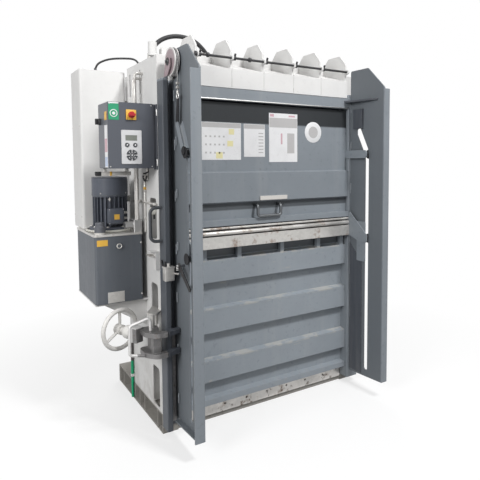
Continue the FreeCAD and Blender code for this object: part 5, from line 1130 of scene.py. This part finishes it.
class BALER_OT_welds(bpy.types.Operator):
    """Lays the stitch welds of the fins, posts and ribs, the flap's guard tube and the header's lip, a bright strip
    that is a painted highlight
    """

    bl_idname = "baler.welds"
    bl_label = "Welds"

    def execute(self, context):
        bead = sizes().bead
        door = Shape()
        for level in (0.2, 0.48, 0.77, 1.035, 1.322, 1.6, 1.86):
            for x, y in ((-0.6295, -0.474), (0.6185, -0.4725)):
                door.bead((x, y, level), (x, y, level + 0.05), bead)
        for level in (1.059, 1.345, 1.623):
            for x, y in ((-0.6295, -0.496), (0.6185, -0.478)):
                door.bead((x, y, level), (x, y, level + 0.04), bead)
        door.finish("door_welds", "door", "weld_grey", "grey_paint")
        guard = Shape()
        guard.rod((-0.596, -0.4765, 1.1255), (0.596, -0.4765, 1.1255), 0.0125, sides=28, soft=0.001)
        guard.finish("guard_tube", "flap", *STAINED)
        # Painted highlight: a bright strip along the header's lower front edge, where its fold catches the light.
        lip = ("wire_bright", "grey_paint")
        slab("header_lip_highlight", "door", lip, (-0.6, -0.4735, 1.884), (0.6, -0.4696, 1.8895), 0.0012)
        rear = Shape()
        for x in (-0.56, -0.21, 0.14, 0.49):
            for z in (0.3, 0.75, 1.2, 1.65):
                rear.bead((x, 0.4625, z), (x, 0.4625, z + 0.06), bead * 0.7)
        rear.finish("rear_welds", "frame", *WHITE_WELD)
        return {"FINISHED"}


class BALER_OT_stage(bpy.types.Operator):
    """Sets the pale floor, the soft lights and the camera"""

    bl_idname = "baler.stage"
    bl_label = "Stage"

    def execute(self, context):
        self.floor()
        self.world()
        self.lamp("key_light", (0.8, -4.2, 6.0), (-0.1, -0.2, 1.0), 0.9, 290.0)
        self.lamp("left_light", (-5.4, -2.6, 3.4), (-0.4, 0.0, 1.2), 2.4, 192.0)
        self.lamp("back_light", (2.5, 4.6, 4.6), (0.0, 0.2, 1.1), 3.0, 110.0)
        self.camera()
        return {"FINISHED"}

    def lamp(self, name, place, target, side, power):
        """A square soft light that looks at a target."""
        light = bpy.data.lights.new(name, "AREA")
        light.shape, light.size, light.energy = "SQUARE", side, power
        lamp = add_object(name, light)
        lamp.location = place
        lamp.rotation_euler = (Vector(target) - Vector(place)).to_track_quat("-Z", "Y").to_euler()

    def seen(self, tree):
        """1 for rays from the camera and for reflections, so that they show the white background."""
        rays = tree.add("ShaderNodeLightPath").outputs
        total = rays["Is Camera Ray"]
        for ray in ("Is Glossy Ray", "Is Transmission Ray"):
            total = tree.add("ShaderNodeMath", {0: total, 1: rays[ray]}, operation="ADD", use_clamp=True).outputs[0]
        return total

    def floor(self):
        """A floor that takes the baler's shadow and fades into the white background around it."""
        mesh = bmesh.new()
        bmesh.ops.create_grid(mesh, x_segments=1, y_segments=1, size=14.0)
        data = bpy.data.meshes.new("floor")
        mesh.to_mesh(data)
        mesh.free()
        add_object("floor", data)
        floor = Finish("studio_floor", (0.3, 0.3, 0.3), 0.9)
        floor.shader.inputs["Specular IOR Level"].default_value = 0.0
        seen = self.seen(floor)
        floor.tint(seen, (0.92, 0.92, 0.92))
        away = floor.add("ShaderNodeVectorMath", {0: floor.place}, operation="LENGTH").outputs["Value"]
        fade = {"Value": away, "From Min": 1.2, "From Max": 2.6, "To Min": 0.66, "To Max": 1.0}
        spread = floor.add("ShaderNodeMapRange", fade).outputs["Result"]
        share = floor.add("ShaderNodeMath", {0: spread, 1: seen}, operation="MULTIPLY").outputs[0]
        glow = floor.add("ShaderNodeEmission").outputs[0]
        floor.cover(share, floor.shader.outputs[0], glow, "Material Output")
        data.materials.append(look("studio_floor"))

    def world(self):
        """Soft light from all around, and white for the rays that see the background."""
        world = bpy.data.worlds.new("studio")
        bpy.context.scene.world = world
        world.use_nodes = True
        tree = Tree(world.node_tree)
        white = (1.0, 1.0, 1.0, 1.0)
        soft = tree.nodes["Background"]
        soft.inputs["Color"].default_value = white
        soft.inputs["Strength"].default_value = 0.36
        plain = tree.add("ShaderNodeBackground", {"Color": white, "Strength": 1.0})
        tree.cover(self.seen(tree), soft.outputs[0], plain.outputs[0], "World Output")

    def camera(self):
        """The camera that took the photo."""
        data = bpy.data.cameras.new("photo_camera")
        data.lens, data.sensor_width = 37.81, 36.0
        data.shift_x, data.shift_y = -0.0815, -0.0931
        camera = add_object("photo_camera", data)
        yaw, pitch, roll = math.radians(33.4), math.radians(3.8), math.radians(-0.15)
        forward = Vector((math.sin(yaw) * math.cos(pitch), math.cos(yaw) * math.cos(pitch), -math.sin(pitch)))
        turn = forward.to_track_quat("-Z", "Y").to_matrix().to_4x4()
        camera.matrix_world = Matrix.Translation((-1.657, -3.049, 1.532)) @ turn @ Matrix.Rotation(roll, 4, "Z")
        bpy.context.scene.camera = camera
        bpy.context.scene.view_settings.view_transform = "Standard"


class BALER_PT_panel(bpy.types.Panel):
    """Lists the baler's pieces, colours and sizes"""

    bl_idname = "BALER_PT_panel"
    bl_label = "Recycling Baler"
    bl_space_type = "VIEW_3D"
    bl_region_type = "UI"
    bl_category = "Baler"

    def draw(self, context):
        for operator in OPERATORS:
            self.layout.operator(operator.bl_idname)
        for group in (context.scene.baler_paints, context.scene.baler_sizes):
            column = self.layout.column()
            for name in group.bl_rna.properties.keys():
                if name not in ("rna_type", "name"):
                    column.prop(group, name)


OPERATORS = (
    BALER_OT_paints, BALER_OT_nodes, BALER_OT_hoses, BALER_OT_rope, BALER_OT_cards, BALER_OT_keypad,
    BALER_OT_head, BALER_OT_motor, BALER_OT_wiring, BALER_OT_fasteners, BALER_OT_welds, BALER_OT_stage,
)
CLASSES = (BalerPaints, BalerSizes, *OPERATORS, BALER_PT_panel)


def register():
    for item in CLASSES:
        bpy.utils.register_class(item)
    bpy.types.Scene.baler_paints = bpy.props.PointerProperty(type=BalerPaints)
    bpy.types.Scene.baler_sizes = bpy.props.PointerProperty(type=BalerSizes)


def unregister():
    del bpy.types.Scene.baler_sizes
    del bpy.types.Scene.baler_paints
    for item in reversed(CLASSES):
        bpy.utils.unregister_class(item)


def main():
    register()
    bpy.ops.baler.paints()
    bpy.ops.baler.nodes()
    bpy.ops.baler.hoses()
    bpy.ops.baler.rope()
    bpy.ops.baler.cards()
    bpy.ops.baler.keypad()
    bpy.ops.baler.head()
    bpy.ops.baler.motor()
    bpy.ops.baler.wiring()
    bpy.ops.baler.fasteners()
    bpy.ops.baler.welds()
    bpy.ops.baler.stage()


if __name__ == "__main__":
    main()
